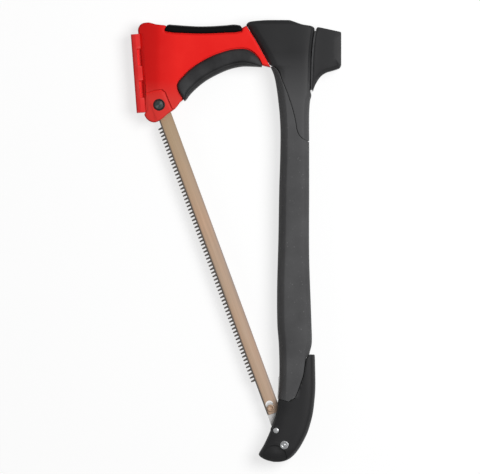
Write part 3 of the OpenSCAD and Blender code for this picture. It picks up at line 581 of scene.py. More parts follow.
def head_housing():
    """The housing's two shells."""
    heights = sorted({*np.arange(117.8, 126, 0.7), *np.arange(126, 214, 2.0),
                      *np.arange(214, 250, 2.5), *np.arange(250, 260.6, 0.6), 172.0, 176.0})
    rows = []
    for y in heights:
        front, right = body_left(y), edge(housing_right, y)
        left = (max(edge(head_seam, y), front) if y < 207 else front) + seam_gap / 2
        rows.append(dict(y=y, left=left, right=right, full=(front, right), half=head_half_at(y),
                         square=squareness(y), seam=(float(1 - ease(205, 212, y)), 0)))
    for name, side in (("head_housing_left", 1), ("head_housing_right", -1)):
        oval_body(name + "_shell", rows, 60, "frame", "housing_plastic", [name],
                  housing_detail, half_only=side)


def mallet():
    """The mallet's block, and the foot plate that stands on the housing behind it."""
    outline = mallet_outline()
    # So many of its first points run along the arch below and up the striking face
    arch_points = 44

    def height(points, depth):
        """A face with rounded rims, a bevel and a ridge along the arch, and a dished middle."""
        x, y = points[:, 0], points[:, 1]
        rim = rounding(depth, 1.4 * np.clip((y - 178) / 24, 0.12, 1))
        under = gap_to_line(points, outline[:arch_points])
        along_arch = (0.5 * ripple(under - 3.3, 0.5) - 0.8 * fall_off(under, 3.2)) * ease(180, 196, y)
        dished = 0.5 * ease(112, 95, x)
        return head_half - 0.35 - rim + along_arch - dished

    plate("mallet_block", outline, height, (0.12, 0.4, 0.8, 1.4, 2.2, 2.8, 3.3, 3.8, 4.6), 3.5,
          "frame", "mallet_plastic", ["mallet_head"])
    heights = np.arange(178.5, 249, 1.5)
    rear = [(edge(housing_right, y) + mallet_gap + 1, y) for y in heights]
    front = [(edge(housing_right, y) + 0.03, y) for y in heights[::-1]]
    plate("mallet_foot", rear + front, flat_at(head_half - 2), (), 4, "frame", "mallet_plastic",
          ["mallet_head"])


# ---------------------------------------------------------------- the handle


def grip():
    """The rubber grip, cut round at its foot and along the seams of the lever and the housing,
    and the tongue under its seam with the lever."""
    start = tail + grip_foot_r + 0.1
    foot = [tail + d for d in (34.2, 34.5, 34.9, 35.3, 35.7, 36.0, 36.3, 36.55, 36.75)]
    heights = sorted({*foot, *np.arange(start, start + 12, 0.8), *np.arange(start + 12, tail + 84, 2.0),
                      *np.arange(tail + 84, tail + 96, 1.0), *np.arange(tail + 96, 112, 3.0),
                      *np.arange(112, 128, 0.8), *np.arange(128, 200, 2.0),
                      *np.arange(200, 206.6, 1.1)})
    rows = []
    for y in heights:
        first = handle_front(y) - max(y - handle_top, 0) * 0.5
        left = first
        if y - tail < grip_foot_r:
            left = max(first, pivot.x + math.sqrt(grip_foot_r**2 - (y - tail) ** 2))
        if y < tail + 88.9:
            right, seam = edge(tail_seam, y) - seam_gap, float(1 - ease(tail + 86, tail + 89, y))
        elif y < housing_foot:
            right, seam = edge(handle_right, y), 0
        else:
            right = min(edge(head_seam, y) - seam_gap / 2, 87)
            seam = float(ease(housing_foot, housing_foot + 1.5, y))
        rows.append(dict(y=y, left=left, right=right, full=(first, max(handle_rear(y), right)),
                         half=grip_half if y < housing_foot else head_half_at(y),
                         square=squareness(y), seam=(float(left > first + 0.5), seam)))
    oval_body("rubber_grip", rows, 56, "frame", "grip_rubber", ["grip_sleeve"],
              lambda x, y, left, right: side_slopes(x, y))
    plate("grip_tongue", seam_strip(40, 85.2, 2, 1.6), flat_at(1.2), (), 4, "frame",
          "grip_rubber", ["grip_sleeve"])


# ---------------------------------------------------------------- the sheath and its pads


def offset_line(points, distance):
    """Points along a chain, moved sideways by a distance."""
    spacing = 0.9
    p = np.array(points, float)
    out = []
    for a, b in zip(p[:-1], p[1:]):
        length = np.linalg.norm(b - a)
        u = (b - a) / length
        side = np.array((-u[1], u[0]))
        for s in np.arange(0, length, spacing):
            out.append(a + u * s + side * distance)
    return out


def gap_to_line(points, line):
    """Distance of each point from a chain."""
    a, b = np.array(line[:-1], float), np.array(line[1:], float)
    d = b - a
    p = points[:, None, :]
    t = np.clip(((p - a) * d).sum(2) / (d * d).sum(1), 0, 1)
    return np.linalg.norm(p - (a + t[..., None] * d), axis=2).min(1)


def sheath_height(points, depth):
    """The sheath's face: a rim that is rounded less beside the arched pad, a fall towards the edge
    guard, and the anchor's pocket."""
    beside_arch = gap_to_line(points, pad_edge(arch_upper, 4))
    rim = rounding(depth, lerp(0.7, 2.2, ease(0.5, 5, beside_arch)))
    beyond = np.clip(-88.5 - points[:, 0], 0, None)
    fall = np.where(beyond < 5, beyond**2 / 10, beyond - 2.5) * 0.235
    inside = depth_inside(points, anchor_pocket)
    pocket = 1.6 * ease(-0.9, 0.3, inside) + 0.8 * ripple(inside - 0.2, 0.5)
    beyond_band = np.interp(points[:, 1], *band_places) - points[:, 0]
    band = 0.5 * ease(-0.45, 0.45, beyond_band) * ease(164, 159.5, points[:, 1])
    return sheath_half - fall * (1 - 0.75 * ease(182, 168, points[:, 1])) - rim - pocket - band


def sheath():
    """The sheath's two halves, with a slot for the blade round the anchor."""
    body, tongue = sheath_outline(0), sheath_outline(0.4)
    smooth_pocket = anchor_pocket[2:] + anchor_pocket[:1]
    lines = [offset_line(smooth_pocket, d) for d in (-0.9, -0.5, -0.1, 0.3)]
    lines += [offset_line(band_line, d) for d in (-0.5, 0.0, 0.5)]
    corners = [(-12, -10), (46, -11), (46, 12), (-12, 12)]
    slot = [anchor.xy + along_blade * u + across_blade * v for u, v in corners]
    for name, upper in (("sheath_left", True), ("sheath_right", False)):
        half = plate(name + "_shell", body, sheath_height, (0.12, 0.4, 0.85, 1.4, 2.2), 2.2,
                     "frame", "sheath_plastic", [name], lines,
                     [(body, tongue_half + 0.6), (tongue, tongue_half), (tongue, 0)],
                     whole=False, upper=upper)
        low, high = (-1, 1.6) if upper else (-1.6, 1)
        cut_away(half, [prism("slot_cutter", slot, middle + low, middle + high)])


def pad(name, near, far, half, square, groove_at, node, cols=30, room=0.3):
    """A rubber pad between two edges, arched over the sheath, with a groove along it and some
    room beside the sheath."""
    rings = []
    last = len(near) - 1
    turns = np.linspace(0, math.pi, cols)
    share = -np.sign(np.cos(turns)) * np.abs(np.cos(turns)) ** (2 / square)
    foot = lerp(tongue_half + 0.6, 0.8, ease(-0.5, 0.9, share))
    for i in range(last + 1):
        a = near[i] + room * unit(far[i] - near[i])
        end = min(i, last - i) / last
        rise = tongue_half + 1.2 + (half - tongue_half - 1.2) * min(1, math.sqrt(end * 6))
        flat = lerp(a[None, :], far[i][None, :], (share[:, None] + 1) / 2)
        z = oval_height(share, rise, square, foot)
        z = z - 1.9 * ripple(share - groove_at, 0.08) * ease(0, 0.06, end)
        z = z - 3.0 * ripple(share + 0.95, 0.10)
        top = np.column_stack([flat, z])
        rings.append(np.concatenate([top, top[::-1] * (1, 1, -1)]) + (0, 0, middle))
    faces = tube(len(rings), len(rings[0]))
    piece(name, np.concatenate(rings), faces, "frame", "pad_rubber", [node])


def arch_pad():
    """The crescent under the sheath's arch."""
    pad("arch_pad", pad_edge(arch_upper, 10), pad_edge(arch_lower, 10), lower_pad_half, 2.3,
        0.5, "lower_grip_pad", 64, 0.5)


def strip_pad():
    """The pad along the sheath's top."""
    pad("strip_pad", pad_edge(strip_lower, 8), pad_edge(strip_upper, 8), top_pad_half, 2.8,
        2.0, "top_grip_pad")


def edge_rail():
    """The edge guard: a rounded rail with three tabs and two windows."""
    tab = 17.5
    window = (guard_length - 3 * tab) / 2
    tab_starts = [k * (tab + window) for k in range(3)]
    rim, step_half, beside_step = 5.5, 0.2, 0.22

    def place(v, u):
        """The point v in from the guard's front edge and u down from its top."""
        return guard_top + guard_in * v + guard_down * u

    def tabs(u):
        """1 on the three tabs and 0 in the windows between them."""
        total = np.zeros_like(u)
        for low in tab_starts:
            high = low + tab
            total += (ease(low - step_half, low + step_half, u)
                      * (1 - ease(high - step_half, high + step_half, u)))
        return np.clip(total, 0, 1)

    def height(points, depth):
        """A face with a slanted front, rounded ends and two sunk windows."""
        off = points - guard_top
        v, u = off @ guard_in, off @ guard_down
        slant = 2.2 * fall_off(v, 5.2) + 0.5 * rounding(v, 2.6)
        end = 0.75 * rounding(np.minimum(u, guard_length - u), 0.8)
        in_window = 1 - tabs(np.clip(u, 0.3, guard_length - 0.3))
        window_drop = (guard_half - 2.5) * ease(rim - step_half, rim + step_half, v) * in_window
        return guard_half - slant - end - window_drop

    corners = [(0, 0), (guard_width, 0), (guard_width, guard_length), (0, guard_length)]
    outline = []
    for (v0, u0), (v1, u1) in zip(corners, corners[1:] + corners[:1]):
        steps = max(3, int(max(abs(v1 - v0), abs(u1 - u0)) / 1.2))
        outline += [place(lerp(v0, v1, s / steps), lerp(u0, u1, s / steps)) for s in range(steps)]
    outline = outline[::-1]
    lines = [[place(v, u) for u in np.arange(0.6, guard_length, 0.9)]
             for v in (0.12, 0.45, 1.0, 1.7, 2.6, rim - beside_step, rim, rim + beside_step)]
    for start in tab_starts:
        for u in (start, start + tab):
            for du in (-beside_step, 0, beside_step):
                if 0.3 < u + du < guard_length - 0.3:
                    lines.append([place(v, u + du) for v in np.arange(rim, guard_width, 0.5)])
    plate("edge_rail", outline, height, (0.3,), 2, "frame", "guard_plastic", ["edge_guard"], lines)


# ---------------------------------------------------------------- the lever and its linkage

scoop_centre = np.array((45.5, tail - 32.2))
scoop_reach = 15.3


def lever_detail(x, y, left, right):
    """A sloped rear side, a turned-down edge along the grip's seam and a scooped thumb rest at the
    toe, with two faint ridges above it."""
    rear = 3.0 * fall_off(right - x, 4.4, 1.1) * ease(tail - 37, tail - 26, y)
    if y > tail + 33.5:
        seam = edge(tail_seam, y) + seam_gap
        round_foot = np.abs(np.hypot(x - pivot.x, y - tail) - grip_foot_r + seam_gap)
        return rear + seam_lip(np.minimum(np.abs(x - seam), round_foot), 1.3, 1.1)
    if y > tail - 2:
        return rear
    rho = np.hypot(x - scoop_centre[0], y - scoop_centre[1])
    inside = scoop_reach - rho
    edge_room = ease(1.5, 5.0, np.minimum(x - left, right - x)) * ease(tail - 36.5, tail - 31, y)
    scoop = 1.7 * ease(-0.2, 1.3, inside) * (1 - ease(2, 13, inside)) * edge_room
    fade = ease(3, 8, x - left) * (1 - ease(-2, 12, x - scoop_centre[0]))
    ridges = 0.28 * ripple(inside + 3.0, 0.7) + 0.22 * ripple(inside + 6.2, 0.8)
    return rear + scoop - ridges * fade


def tension_lever():
    """The lever's body, cut clear of the grip and hollowed for the link."""
    crease, groove_half, clear_half = 32, 1.6, 20
    bottom, top = tail - 37.2, tail + 89.2
    heights = sorted({*np.arange(bottom, bottom + 4, 0.35), *np.arange(bottom + 4, tail - 10, 0.8),
                      *np.arange(tail - 10, tail + 32, 1.5), *np.arange(tail + 32, tail + 41, 0.5),
                      *np.arange(tail + 41, tail + 84, 1.5), *np.arange(tail + 84, top, 0.7), top})
    rows = []
    for y in heights:
        left = edge(handle_left, y) if y > handle_foot else edge(lever_left, y)
        right = edge(lever_right, y)
        crown = 1 if y > tail - 20 else math.sqrt(1 - ((tail - 20 - y) / 19.5) ** 2)
        rows.append(dict(y=y, left=left, right=right, full=(left, right),
                         half=lever_half * crown, square=4, seam=(0, 0)))
    lever = oval_body("lever_body", rows, 64, "lever", "lever_plastic", ["tension_lever"],
                      lever_detail, crease=crease)
    channel = [(-40, 40), (-40, -14), (4, -25.5), (8, -25.5), (16, -21), (24, -10), (31, 5),
               (35, 20), (36, 33), (17.5, 33), (17.5, 40)]
    channel = [(pivot.x + x, tail + y) for x, y in channel]
    arc_r = grip_foot_r - seam_gap
    arc = [(pivot.x + arc_r * math.sin(a), tail + arc_r * math.cos(a))
           for a in np.radians(np.arange(-9, 24.5, 1.5))]
    seam = [(edge(tail_seam, tail + d) + seam_gap, tail + d)
            for d in (*np.arange(33.5, 40, 0.6), *np.arange(40, 90.5, 1.5), 90.5)]
    cutters = [prism("channel_cutter", channel, middle - channel_half, middle + channel_half),
               prism("grip_cutter", [*arc, *seam, (30, tail + 90.5)], middle - clear_half,
                     middle + clear_half),
               prism("groove_cutter", seam_strip(36.5, 90.4, 1, 2.4), middle - groove_half,
                     middle + groove_half)]
    for side in (1, -1):
        for at, radius, depth in ((pivot, stud_r + 1.2, 3.1), (crank_pin, link_pin_recess_r, 1.7)):
            ends = sorted((middle + side * (lever_half - depth), middle + side * (lever_half + 4)))
            cutters.append(prism("recess_cutter", circle(at, radius), *ends))
    cut_away(lever, cutters, crease)


def pivot_studs():
    """The two domed studs that the lever turns on."""
    top = half_of("lever_pivot_studs")
    rim = stud_r + stud_rim - 0.02
    dome = [(stud_r, 4.6), (stud_r, top - 1.3), (rim, top - 1.3), (rim, top - 1.0),
            (rim - 0.3, top - 0.5), (rim - 0.9, top - 0.2), (rim - 1.9, top - 0.03), (0.01, top)]
    turned("pivot_studs", pivot, dome, "frame", "pin_steel", ["lever_pivot_studs"], (1, -1))


def link_pin():
    """The pin through the lever and the link, with a dished head."""
    top = half_of("link_pin")
    bottom = -(lever_half - 0.6)
    pin = [(0.01, bottom), (3, bottom), (3, top - 1.8), (5, top - 1.8), (5, top - 0.5),
           (4.6, top - 0.1), (4.2, top), (3.7, top - 0.05), (3.4, top - 0.9), (2.6, top - 1.3),
           (1.9, top - 1.3), (1.6, top - 0.5), (1.1, top - 0.3), (0.01, top - 0.3)]
    turned("pin_with_head", crank_pin, pin, "lever", "pin_steel", ["link_pin"])


def keyhole_stud():
    """The link's headed stud, which sits in the blade's keyhole."""
    top = half_of("blade_stud")
    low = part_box("blade_stud")[0].z / MM - middle
    stud = [(0.01, low), (2.5, low), (2.5, top - 1.5), (4.2, top - 1.5), (4.2, top - 0.6),
            (3.8, top - 0.15), (3.3, top), (2.7, top - 0.2), (2.4, top - 0.9), (2.2, top - 2.0),
            (0.01, top - 2.2)]
    turned("keyhole_stud", stud_seat, stud, "link", "blade_steel", ["blade_stud"])


def anchor_cap():
    """The pin that the blade hangs from, with its two flat ends."""
    top = half_of("anchor_pin")
    half = [(anchor_r, top - 0.06), (anchor_r - 0.12, top), (0.01, top)]
    pin = [(radius, -level) for radius, level in half[::-1]] + half
    turned("anchor_cap", anchor, pin, "frame", "anchor_metal", ["anchor_pin"])


def anchor_collars():
    """The two black collars round the ends of the pin."""
    rim, bore = half_of("anchor_collars"), anchor_r + 0.06
    ring = [(bore, rim - 2.2), (7.0, rim - 2.2), (7.0, rim - 0.5), (6.7, rim - 0.1), (6.2, rim),
            (5.2, rim), (4.9, rim - 0.08), (bore, rim - 0.25), (bore, rim - 2.2)]
    for name, side in (("anchor_collar_left", 1), ("anchor_collar_right", -1)):
        turned(name, anchor, ring, "frame", "anchor_black", ["anchor_collars"], (side,), True)


# ---------------------------------------------------------------- finishes


def linear(colour):
    """An sRGB colour of 0 to 255 as the shader wants it."""
    parts = [c / 255 for c in colour]
    return tuple(c / 12.92 if c <= 0.04045 else ((c + 0.055) / 1.055) ** 2.4 for c in parts) + (1,)


def feed(tree, socket, value):
    """Gives an input a constant, or links another node's output to it."""
    if hasattr(value, "is_output"):
        tree.links.new(value, socket)
    else:
        socket.default_value = value


def add(tree, kind, **settings):
    """A node with its settings. One named in_X feeds input X, by its name or its number."""
    node = tree.nodes.new(kind)
    for key, value in settings.items():
        if key.startswith("in_"):
            label = key[3:].replace("_", " ")
            feed(tree, node.inputs[int(label) if label.isdigit() else label], value)
        else:
            setattr(node, key, value)
    return node


def spread(tree, value, low, high, out_low=0.0, out_high=1.0):
    """A value between low and high, stretched to run from out_low to out_high."""
    span = add(tree, "ShaderNodeMapRange", in_Value=value, in_From_Min=low, in_From_Max=high,
               in_To_Min=out_low, in_To_Max=out_high)
    return span.outputs["Result"]


def reckon(tree, operation, first, second, clamp=False):
    """The sum or the product of two values."""
    return add(tree, "ShaderNodeMath", operation=operation, use_clamp=clamp, in_0=first,
               in_1=second).outputs[0]


def blend_colours(tree, share, first, second):
    """A colour between two colours, by a share."""
    mix = add(tree, "ShaderNodeMix", data_type="RGBA", in_Factor=share, in_6=first, in_7=second)
    return mix.outputs[2]


def places_on(tree):
    """Each point's own place on the saw, in metres."""
    return add(tree, "ShaderNodeTexCoord").outputs["Object"]


def places_along_blade(tree):
    """Places measured from the anchor, with X along the blade."""
    heading = math.atan2(along_blade.y, along_blade.x)
    turn = add(tree, "ShaderNodeMapping", vector_type="TEXTURE", in_Vector=places_on(tree),
               in_Location=(anchor.x * MM, anchor.y * MM, 0), in_Rotation=(0, 0, heading))
    return turn.outputs["Vector"]


def shader_group(name, **inputs):
    """An empty node group and the sockets that bring its named inputs."""
    group = bpy.data.node_groups.new(name, "ShaderNodeTree")
    for label, value in inputs.items():
        socket = group.interface.new_socket(name=label, in_out="INPUT", socket_type="NodeSocketFloat")
        socket.default_value = value
    return group, group.nodes.new("NodeGroupInput").outputs


def put_out(group, **outputs):
    """Names what a group puts out."""
    for label in outputs:
        group.interface.new_socket(name=label, in_out="OUTPUT", socket_type="NodeSocketFloat")
    leave = group.nodes.new("NodeGroupOutput")
    for label, value in outputs.items():
        feed(group, leave.inputs[label], value)
    return group


def moulded_grain_group():
    """Fine texture of a moulded face, the broad patches where it is a shade lighter, and specks
    of dust."""
    group, given = shader_group("moulded grain", Grain=1500, Patch=30)
    place = places_on(group)
    fine = add(group, "ShaderNodeTexNoise", in_Vector=place, in_Scale=given["Grain"],
               in_Detail=2.0, in_Roughness=0.6)
    cells = add(group, "ShaderNodeTexVoronoi", feature="SMOOTH_F1", in_Vector=place,
                in_Scale=given["Grain"])
    broad = add(group, "ShaderNodeTexNoise", in_Vector=place, in_Scale=given["Patch"],
                in_Detail=4.0, in_Roughness=0.55)
    dots = add(group, "ShaderNodeTexVoronoi", in_Vector=place, in_Scale=330.0)
    sparse = add(group, "ShaderNodeTexNoise", in_Vector=place, in_Scale=160.0, in_Detail=1.0)
    specks = reckon(group, "MULTIPLY", spread(group, dots.outputs["Distance"], 0.30, 0.12),
                    spread(group, sparse.outputs["Fac"], 0.56, 0.66), clamp=True)
    return put_out(group, Patches=broad.outputs["Fac"], Specks=specks,
                   Height=reckon(group, "ADD", fine.outputs["Fac"], cells.outputs["Distance"]))


def rubbed_edges_group():
    """Where handling has polished the outer edges."""
    group, given = shader_group("rubbed edges", Start=0.52, Full=0.60, Amount=1)
    shape = add(group, "ShaderNodeNewGeometry").outputs["Pointiness"]
    broken = add(group, "ShaderNodeTexNoise", in_Vector=places_on(group), in_Scale=120.0,
                 in_Detail=5.0)
    outer = spread(group, shape, given["Start"], given["Full"])
    patchy = reckon(group, "MULTIPLY", outer, broken.outputs["Fac"])
    return put_out(group, Mask=reckon(group, "MULTIPLY", patchy, given["Amount"], clamp=True))


def drawn_streaks_group():
    """Long streaks left by rolling and grinding, along the blade, and clouds of another shade."""
    group, given = shader_group("drawn streaks", Length=9, Width=700)
    place = places_along_blade(group)
    stretch = add(group, "ShaderNodeCombineXYZ", in_X=given["Length"], in_Y=given["Width"],
                  in_Z=given["Length"]).outputs["Vector"]
    scaled = add(group, "ShaderNodeVectorMath", operation="MULTIPLY", in_0=place, in_1=stretch)
    broad = add(group, "ShaderNodeVectorMath", operation="MULTIPLY", in_0=place, in_1=(11, 55, 11))
    fine = add(group, "ShaderNodeTexNoise", in_Vector=scaled.outputs["Vector"], in_Scale=1.0,
               in_Detail=3.0)
    clouds = add(group, "ShaderNodeTexNoise", in_Vector=broad.outputs["Vector"], in_Scale=1.0,
                 in_Detail=5.0, in_Roughness=0.6)
    return put_out(group, Streaks=fine.outputs["Fac"], Clouds=clouds.outputs["Fac"])


moulded_grain = moulded_grain_group()
rubbed_edges = rubbed_edges_group()
drawn_streaks = drawn_streaks_group()


def new_finish(name):
    """A new material, with its node tree and its shader."""
    finish = bpy.data.materials.new(name)
    finish.use_nodes = True
    return finish, finish.node_tree, finish.node_tree.nodes["Principled BSDF"]


def face_of(tree, shader, colour, rough, height, strength, distance):
    """Gives a shader its colour, its roughness and the height of its fine texture."""
    bump = add(tree, "ShaderNodeBump", in_Strength=strength, in_Distance=distance, in_Height=height)
    feed(tree, shader.inputs["Base Color"], colour)
    feed(tree, shader.inputs["Roughness"], rough)
    feed(tree, shader.inputs["Normal"], bump.outputs["Normal"])


def moulded(name, dark, light, rubbed, grain, depth, rough, gloss=0.12, sheen=0.0, wear=1.0,
            dust=0.0):
    """A moulded plastic or rubber: two shades in patches, paler rubbed edges and a fine grain."""
    finish, tree, shader = new_finish(name)
    texture = add(tree, "ShaderNodeGroup", node_tree=moulded_grain, in_Grain=grain,
                  in_Patch=26).outputs
    worn = add(tree, "ShaderNodeGroup", node_tree=rubbed_edges, in_Amount=wear).outputs["Mask"]
    patches = spread(tree, texture["Patches"], 0.32, 0.68)
    colour = blend_colours(tree, patches, linear(dark), linear(light))
    colour = blend_colours(tree, worn, colour, linear(rubbed))
    if dust:
        specks = spread(tree, texture["Specks"], 0, 1, 0, dust)
        colour = blend_colours(tree, specks, colour, linear((150, 150, 150)))
    uneven = spread(tree, texture["Patches"], 0.3, 0.7, rough - 0.05, rough + 0.06)
    face_of(tree, shader, colour, uneven, texture["Height"], depth, 0.0002)
    shader.inputs["Sheen Weight"].default_value = sheen
    shader.inputs["Specular IOR Level"].default_value = gloss
    return finish


def fade_along(finish, axis, start, full, colour, amount):
    """Brings a finish towards another colour between two places along an axis, in metres."""
    tree = finish.node_tree
    base = tree.nodes["Principled BSDF"].inputs["Base Color"]
    parts = add(tree, "ShaderNodeSeparateXYZ", in_Vector=places_on(tree))
    share = spread(tree, parts.outputs[axis], start, full, 0, amount)
    feed(tree, base, blend_colours(tree, share, base.links[0].from_socket, linear(colour)))
    return finish


def pad_rubber():
    """The pads' rubber, with painted shade darkening the pad along the sheath's top almost to black."""
    finish = moulded("pad rubber", (46, 46, 47), (70, 70, 71), (92, 92, 92), 1100, 0.25, 0.42,
                     gloss=0.04)
    # Painted shade: the strip pad along the sheath's top is darkened almost to black, standing in for a face
    # turned away from the light.
    return fade_along(finish, "Y", 0.232, 0.240, (8, 8, 9), 1)


def housing_plastic():
    """The housing's plastic, with painted light making it paler towards its lower tongue."""
    finish = moulded("housing plastic", (34, 34, 35), (41, 41, 42), (76, 76, 77), 1700, 0.10, 0.50)
    # Painted highlight: the housing turns paler grey towards its lower tongue, standing in for the light that face
    # catches.
    return fade_along(finish, "Y", 0.222, 0.165, (84, 84, 85), 0.75)


def sheath_plastic():
    """The sheath's red, with painted shade deepening it towards the edge guard and a painted pale highlight
    towards its lower end round the blade's anchor.
    """
    finish = moulded("sheath plastic", (239, 32, 29), (246, 40, 35), (244, 84, 78), 1900, 0.05, 0.42,
                     gloss=0.06, wear=0.6)
    # Painted shade: the red deepens towards the edge guard, where the face falls away from the light.
    fade_along(finish, "X", -0.068, -0.108, (196, 24, 24), 0.7)
    # Painted highlight: the red turns pale and pinkish towards the sheath's lower end round the anchor.
    return fade_along(finish, "Y", 0.190, 0.166, (222, 66, 60), 0.7)


def turned_steel(name, base, rough):
    """Bare steel with fine streaks and a little darkening."""
    finish, tree, shader = new_finish(name)
    marks = add(tree, "ShaderNodeGroup", node_tree=drawn_streaks, in_Length=60,
                in_Width=1400).outputs
    dull = tuple(int(c * 0.72) for c in base)
    clouds = spread(tree, marks["Clouds"], 0.3, 0.7)
    colour = blend_colours(tree, clouds, linear(dull), linear(base))
    uneven = spread(tree, marks["Streaks"], 0.3, 0.7, rough - 0.08, rough + 0.1)
    face_of(tree, shader, colour, uneven, marks["Streaks"], 0.12, 0.0001)
    shader.inputs["Metallic"].default_value = 0.55
    return finish


BLADE_SHADES = [(0.0, (22, 20, 18)), (0.255, (36, 31, 26)), (0.285, (84, 72, 60)),
                (0.33, (156, 132, 110)), (0.40, (171, 145, 121)), (0.62, (181, 155, 132)),
                (0.88, (176, 150, 130)), (0.95, (160, 142, 130)), (1.0, (134, 122, 115))]


def shade_across_blade(tree, across):
    """The blade's colour from the tips of its teeth to its back."""
    node = add(tree, "ShaderNodeValToRGB", in_Fac=across)
    ramp = node.color_ramp.elements
    for stop, (at, colour) in ((ramp[0], BLADE_SHADES[0]), (ramp[1], BLADE_SHADES[-1])):
        stop.position = at
        stop.color = linear(colour)
    for at, colour in BLADE_SHADES[1:-1]:
        ramp.new(at).color = linear(colour)
    return node.outputs["Color"]


def coated_blade():
    """Bronze-tinted blade steel: dark hardened teeth with a dark band at their roots, and long
    streaks in a face that is browner near the sheath."""
    finish, tree, shader = new_finish("blade bronze")
    tooth_side, back_side = -0.011, 0.010
    parts = add(tree, "ShaderNodeSeparateXYZ", in_Vector=places_along_blade(tree)).outputs
    across = spread(tree, parts["Y"], tooth_side, back_side)
    shade = shade_across_blade(tree, across)
    marks = add(tree, "ShaderNodeGroup", node_tree=drawn_streaks).outputs
    warm = spread(tree, marks["Clouds"], 0.42, 0.72, 0.0, 0.5)
    colour = blend_colours(tree, warm, shade, linear((196, 152, 118)))
    on_face = spread(tree, across, 0.26, 0.36)
    colour = blend_colours(tree, on_face, shade, colour)
    fine = spread(tree, marks["Streaks"], 0.35, 0.65, 0.0, 0.22)
    colour = blend_colours(tree, fine, colour, linear((120, 104, 90)))
    near_sheath = spread(tree, parts["X"], 0.150, 0.020, 0.0, 0.55)
    brown = reckon(tree, "MULTIPLY", near_sheath, on_face)
    colour = blend_colours(tree, brown, colour, linear((150, 128, 90)))
    uneven = spread(tree, marks["Streaks"], 0.3, 0.7, 0.38, 0.55)
    face_of(tree, shader, colour, uneven, marks["Streaks"], 0.1, 0.0001)
    shader.inputs["Metallic"].default_value = 0.15
    return finish


def finishes():
    """The finish of each material slot."""
    return {
        "hatchet_steel": turned_steel("hatchet steel", (150, 152, 155), 0.42),
        "housing_plastic": housing_plastic(),
        "mallet_plastic": moulded("mallet plastic", (40, 40, 41), (47, 47, 48), (82, 82, 83),
                                  1700, 0.10, 0.50),
        "core_plastic": moulded("core plastic", (34, 36, 38), (42, 44, 46), (60, 60, 62),
                                1500, 0.10, 0.5),
        "grip_rubber": moulded("grip rubber", (70, 70, 71), (84, 84, 85), (100, 100, 100),
                               900, 0.35, 0.62, sheen=0.05, dust=0.25),
        "pad_rubber": pad_rubber(),
        "sheath_plastic": sheath_plastic(),
        "guard_plastic": moulded("guard plastic", (228, 40, 40), (240, 56, 54), (244, 108, 102),
                                 1900, 0.05, 0.42, wear=0.7),
        "anchor_metal": moulded("anchor coating", (46, 54, 54), (58, 66, 66), (110, 120, 118),
                                1600, 0.1, 0.4),
        "anchor_black": moulded("anchor collar", (20, 20, 21), (28, 28, 29), (50, 50, 51),
                                1600, 0.08, 0.4),
        "lever_plastic": moulded("lever plastic", (31, 31, 32), (38, 38, 39), (70, 70, 71),
                                 1700, 0.09, 0.48),
        "pin_steel": turned_steel("pin steel", (176, 177, 179), 0.22),
        "link_steel": turned_steel("link steel", (196, 195, 194), 0.45),
        "blade_steel": coated_blade(),
    }


def dress():
    """Gives every shown piece and every carried-over solid the finish of its slot."""
    looks = finishes()
    slots = {row["node"]: row["material_slot"] for row in frame["record"]["subparts"]}
    dressed = [(shape, slots[node]) for node, shape in frame["nodes"].items()]
    dressed += [(bpy.data.objects[name], slot) for name, slot in own_slots.items()]
    for shape, slot in dressed:
        shape.data.materials.clear()
        shape.data.materials.append(looks[slot])


# ---------------------------------------------------------------- the studio

TABLE_REACH = 6.0
TABLE_DROP = 0.0004
CAMERA_HEIGHT = 7.0
CAMERA_PLACE = (5.3, 4.7)
VIEW_WIDTH = 566.4
SENSOR = 36


def lamp(name, place, size, power):
    """A round lamp that faces the saw."""
    light = bpy.data.lights.new(name, "AREA")
    light.shape = "DISK"
    light.size = size
    light.energy = power
    holder = put_in_scene(name, light)
    holder.location = place
    holder.rotation_euler = (-Vector(place)).to_track_quat("-Z", "Y").to_euler()


def seen_plainly(tree):
    """1 for what the camera sees, straight on or in a reflection, and 0 for light on the saw."""
    path = add(tree, "ShaderNodeLightPath").outputs
    seen = reckon(tree, "ADD", path["Is Camera Ray"], path["Is Glossy Ray"], clamp=True)
    return reckon(tree, "ADD", seen, path["Is Transmission Ray"], clamp=True)


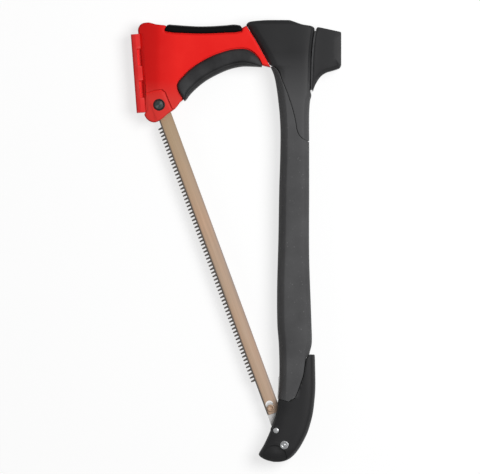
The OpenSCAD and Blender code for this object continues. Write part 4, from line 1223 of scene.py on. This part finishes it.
def white_paper():
    """Paper that looks white to the camera and still takes the saw's shadow."""
    paper, tree, shader = new_finish("white paper")
    shader.inputs["Base Color"].default_value = (0.3, 0.3, 0.3, 1)
    shader.inputs["Roughness"].default_value = 0.9
    shader.inputs["Specular IOR Level"].default_value = 0.0
    glow = add(tree, "ShaderNodeEmission", in_Strength=1.0, in_Color=(0.74, 0.74, 0.74, 1))
    both = add(tree, "ShaderNodeAddShader", in_0=shader.outputs[0], in_1=glow.outputs[0])
    mix = add(tree, "ShaderNodeMixShader", in_0=seen_plainly(tree), in_1=shader.outputs[0],
              in_2=both.outputs[0])
    tree.links.new(mix.outputs[0], tree.nodes["Material Output"].inputs["Surface"])
    return paper


def table_top():
    """The table that the saw lies on, a hair below it."""
    corners = [(x * TABLE_REACH, y * TABLE_REACH, -TABLE_DROP)
               for x, y in ((-1, -1), (1, -1), (1, 1), (-1, 1))]
    mesh = bpy.data.meshes.new("table_top")
    mesh.from_pydata(corners, [], [(0, 1, 2, 3)])
    mesh.materials.append(white_paper())
    put_in_scene("table_top", mesh)


def room():
    """A room that looks white and lights the saw only a little."""
    world = bpy.data.worlds.new("studio")
    bpy.context.scene.world = world
    world.use_nodes = True
    tree = world.node_tree
    back = tree.nodes["Background"]
    back.inputs["Color"].default_value = (1, 1, 1, 1)
    feed(tree, back.inputs["Strength"], spread(tree, seen_plainly(tree), 0, 1, 0.12, 1.0))


def camera():
    """A long lens straight above the saw, framed at its middle plane."""
    lens = bpy.data.cameras.new("camera")
    lens.sensor_width = SENSOR
    lens.lens = SENSOR * (CAMERA_HEIGHT - middle * MM) / (VIEW_WIDTH * MM)
    lens.clip_end = 50
    eye = put_in_scene("camera", lens)
    eye.location = (CAMERA_PLACE[0] * MM, CAMERA_PLACE[1] * MM, CAMERA_HEIGHT)
    bpy.context.scene.camera = eye


def studio():
    """The table, the room, the lamps and the camera."""
    table_top()
    room()
    lamp("key_light", (1.15, 0.42, 2.1), 1.5, 52)
    lamp("soft_light", (-2.0, 0.2, 1.5), 1.4, 5)
    camera()
    bpy.context.scene.view_settings.view_transform = "Standard"


# ---------------------------------------------------------------- building

head_housing()
mallet()
grip()
sheath()
arch_pad()
strip_pad()
edge_rail()
tension_lever()
pivot_studs()
link_pin()
keyhole_stud()
anchor_cap()
anchor_collars()
dress()
studio()
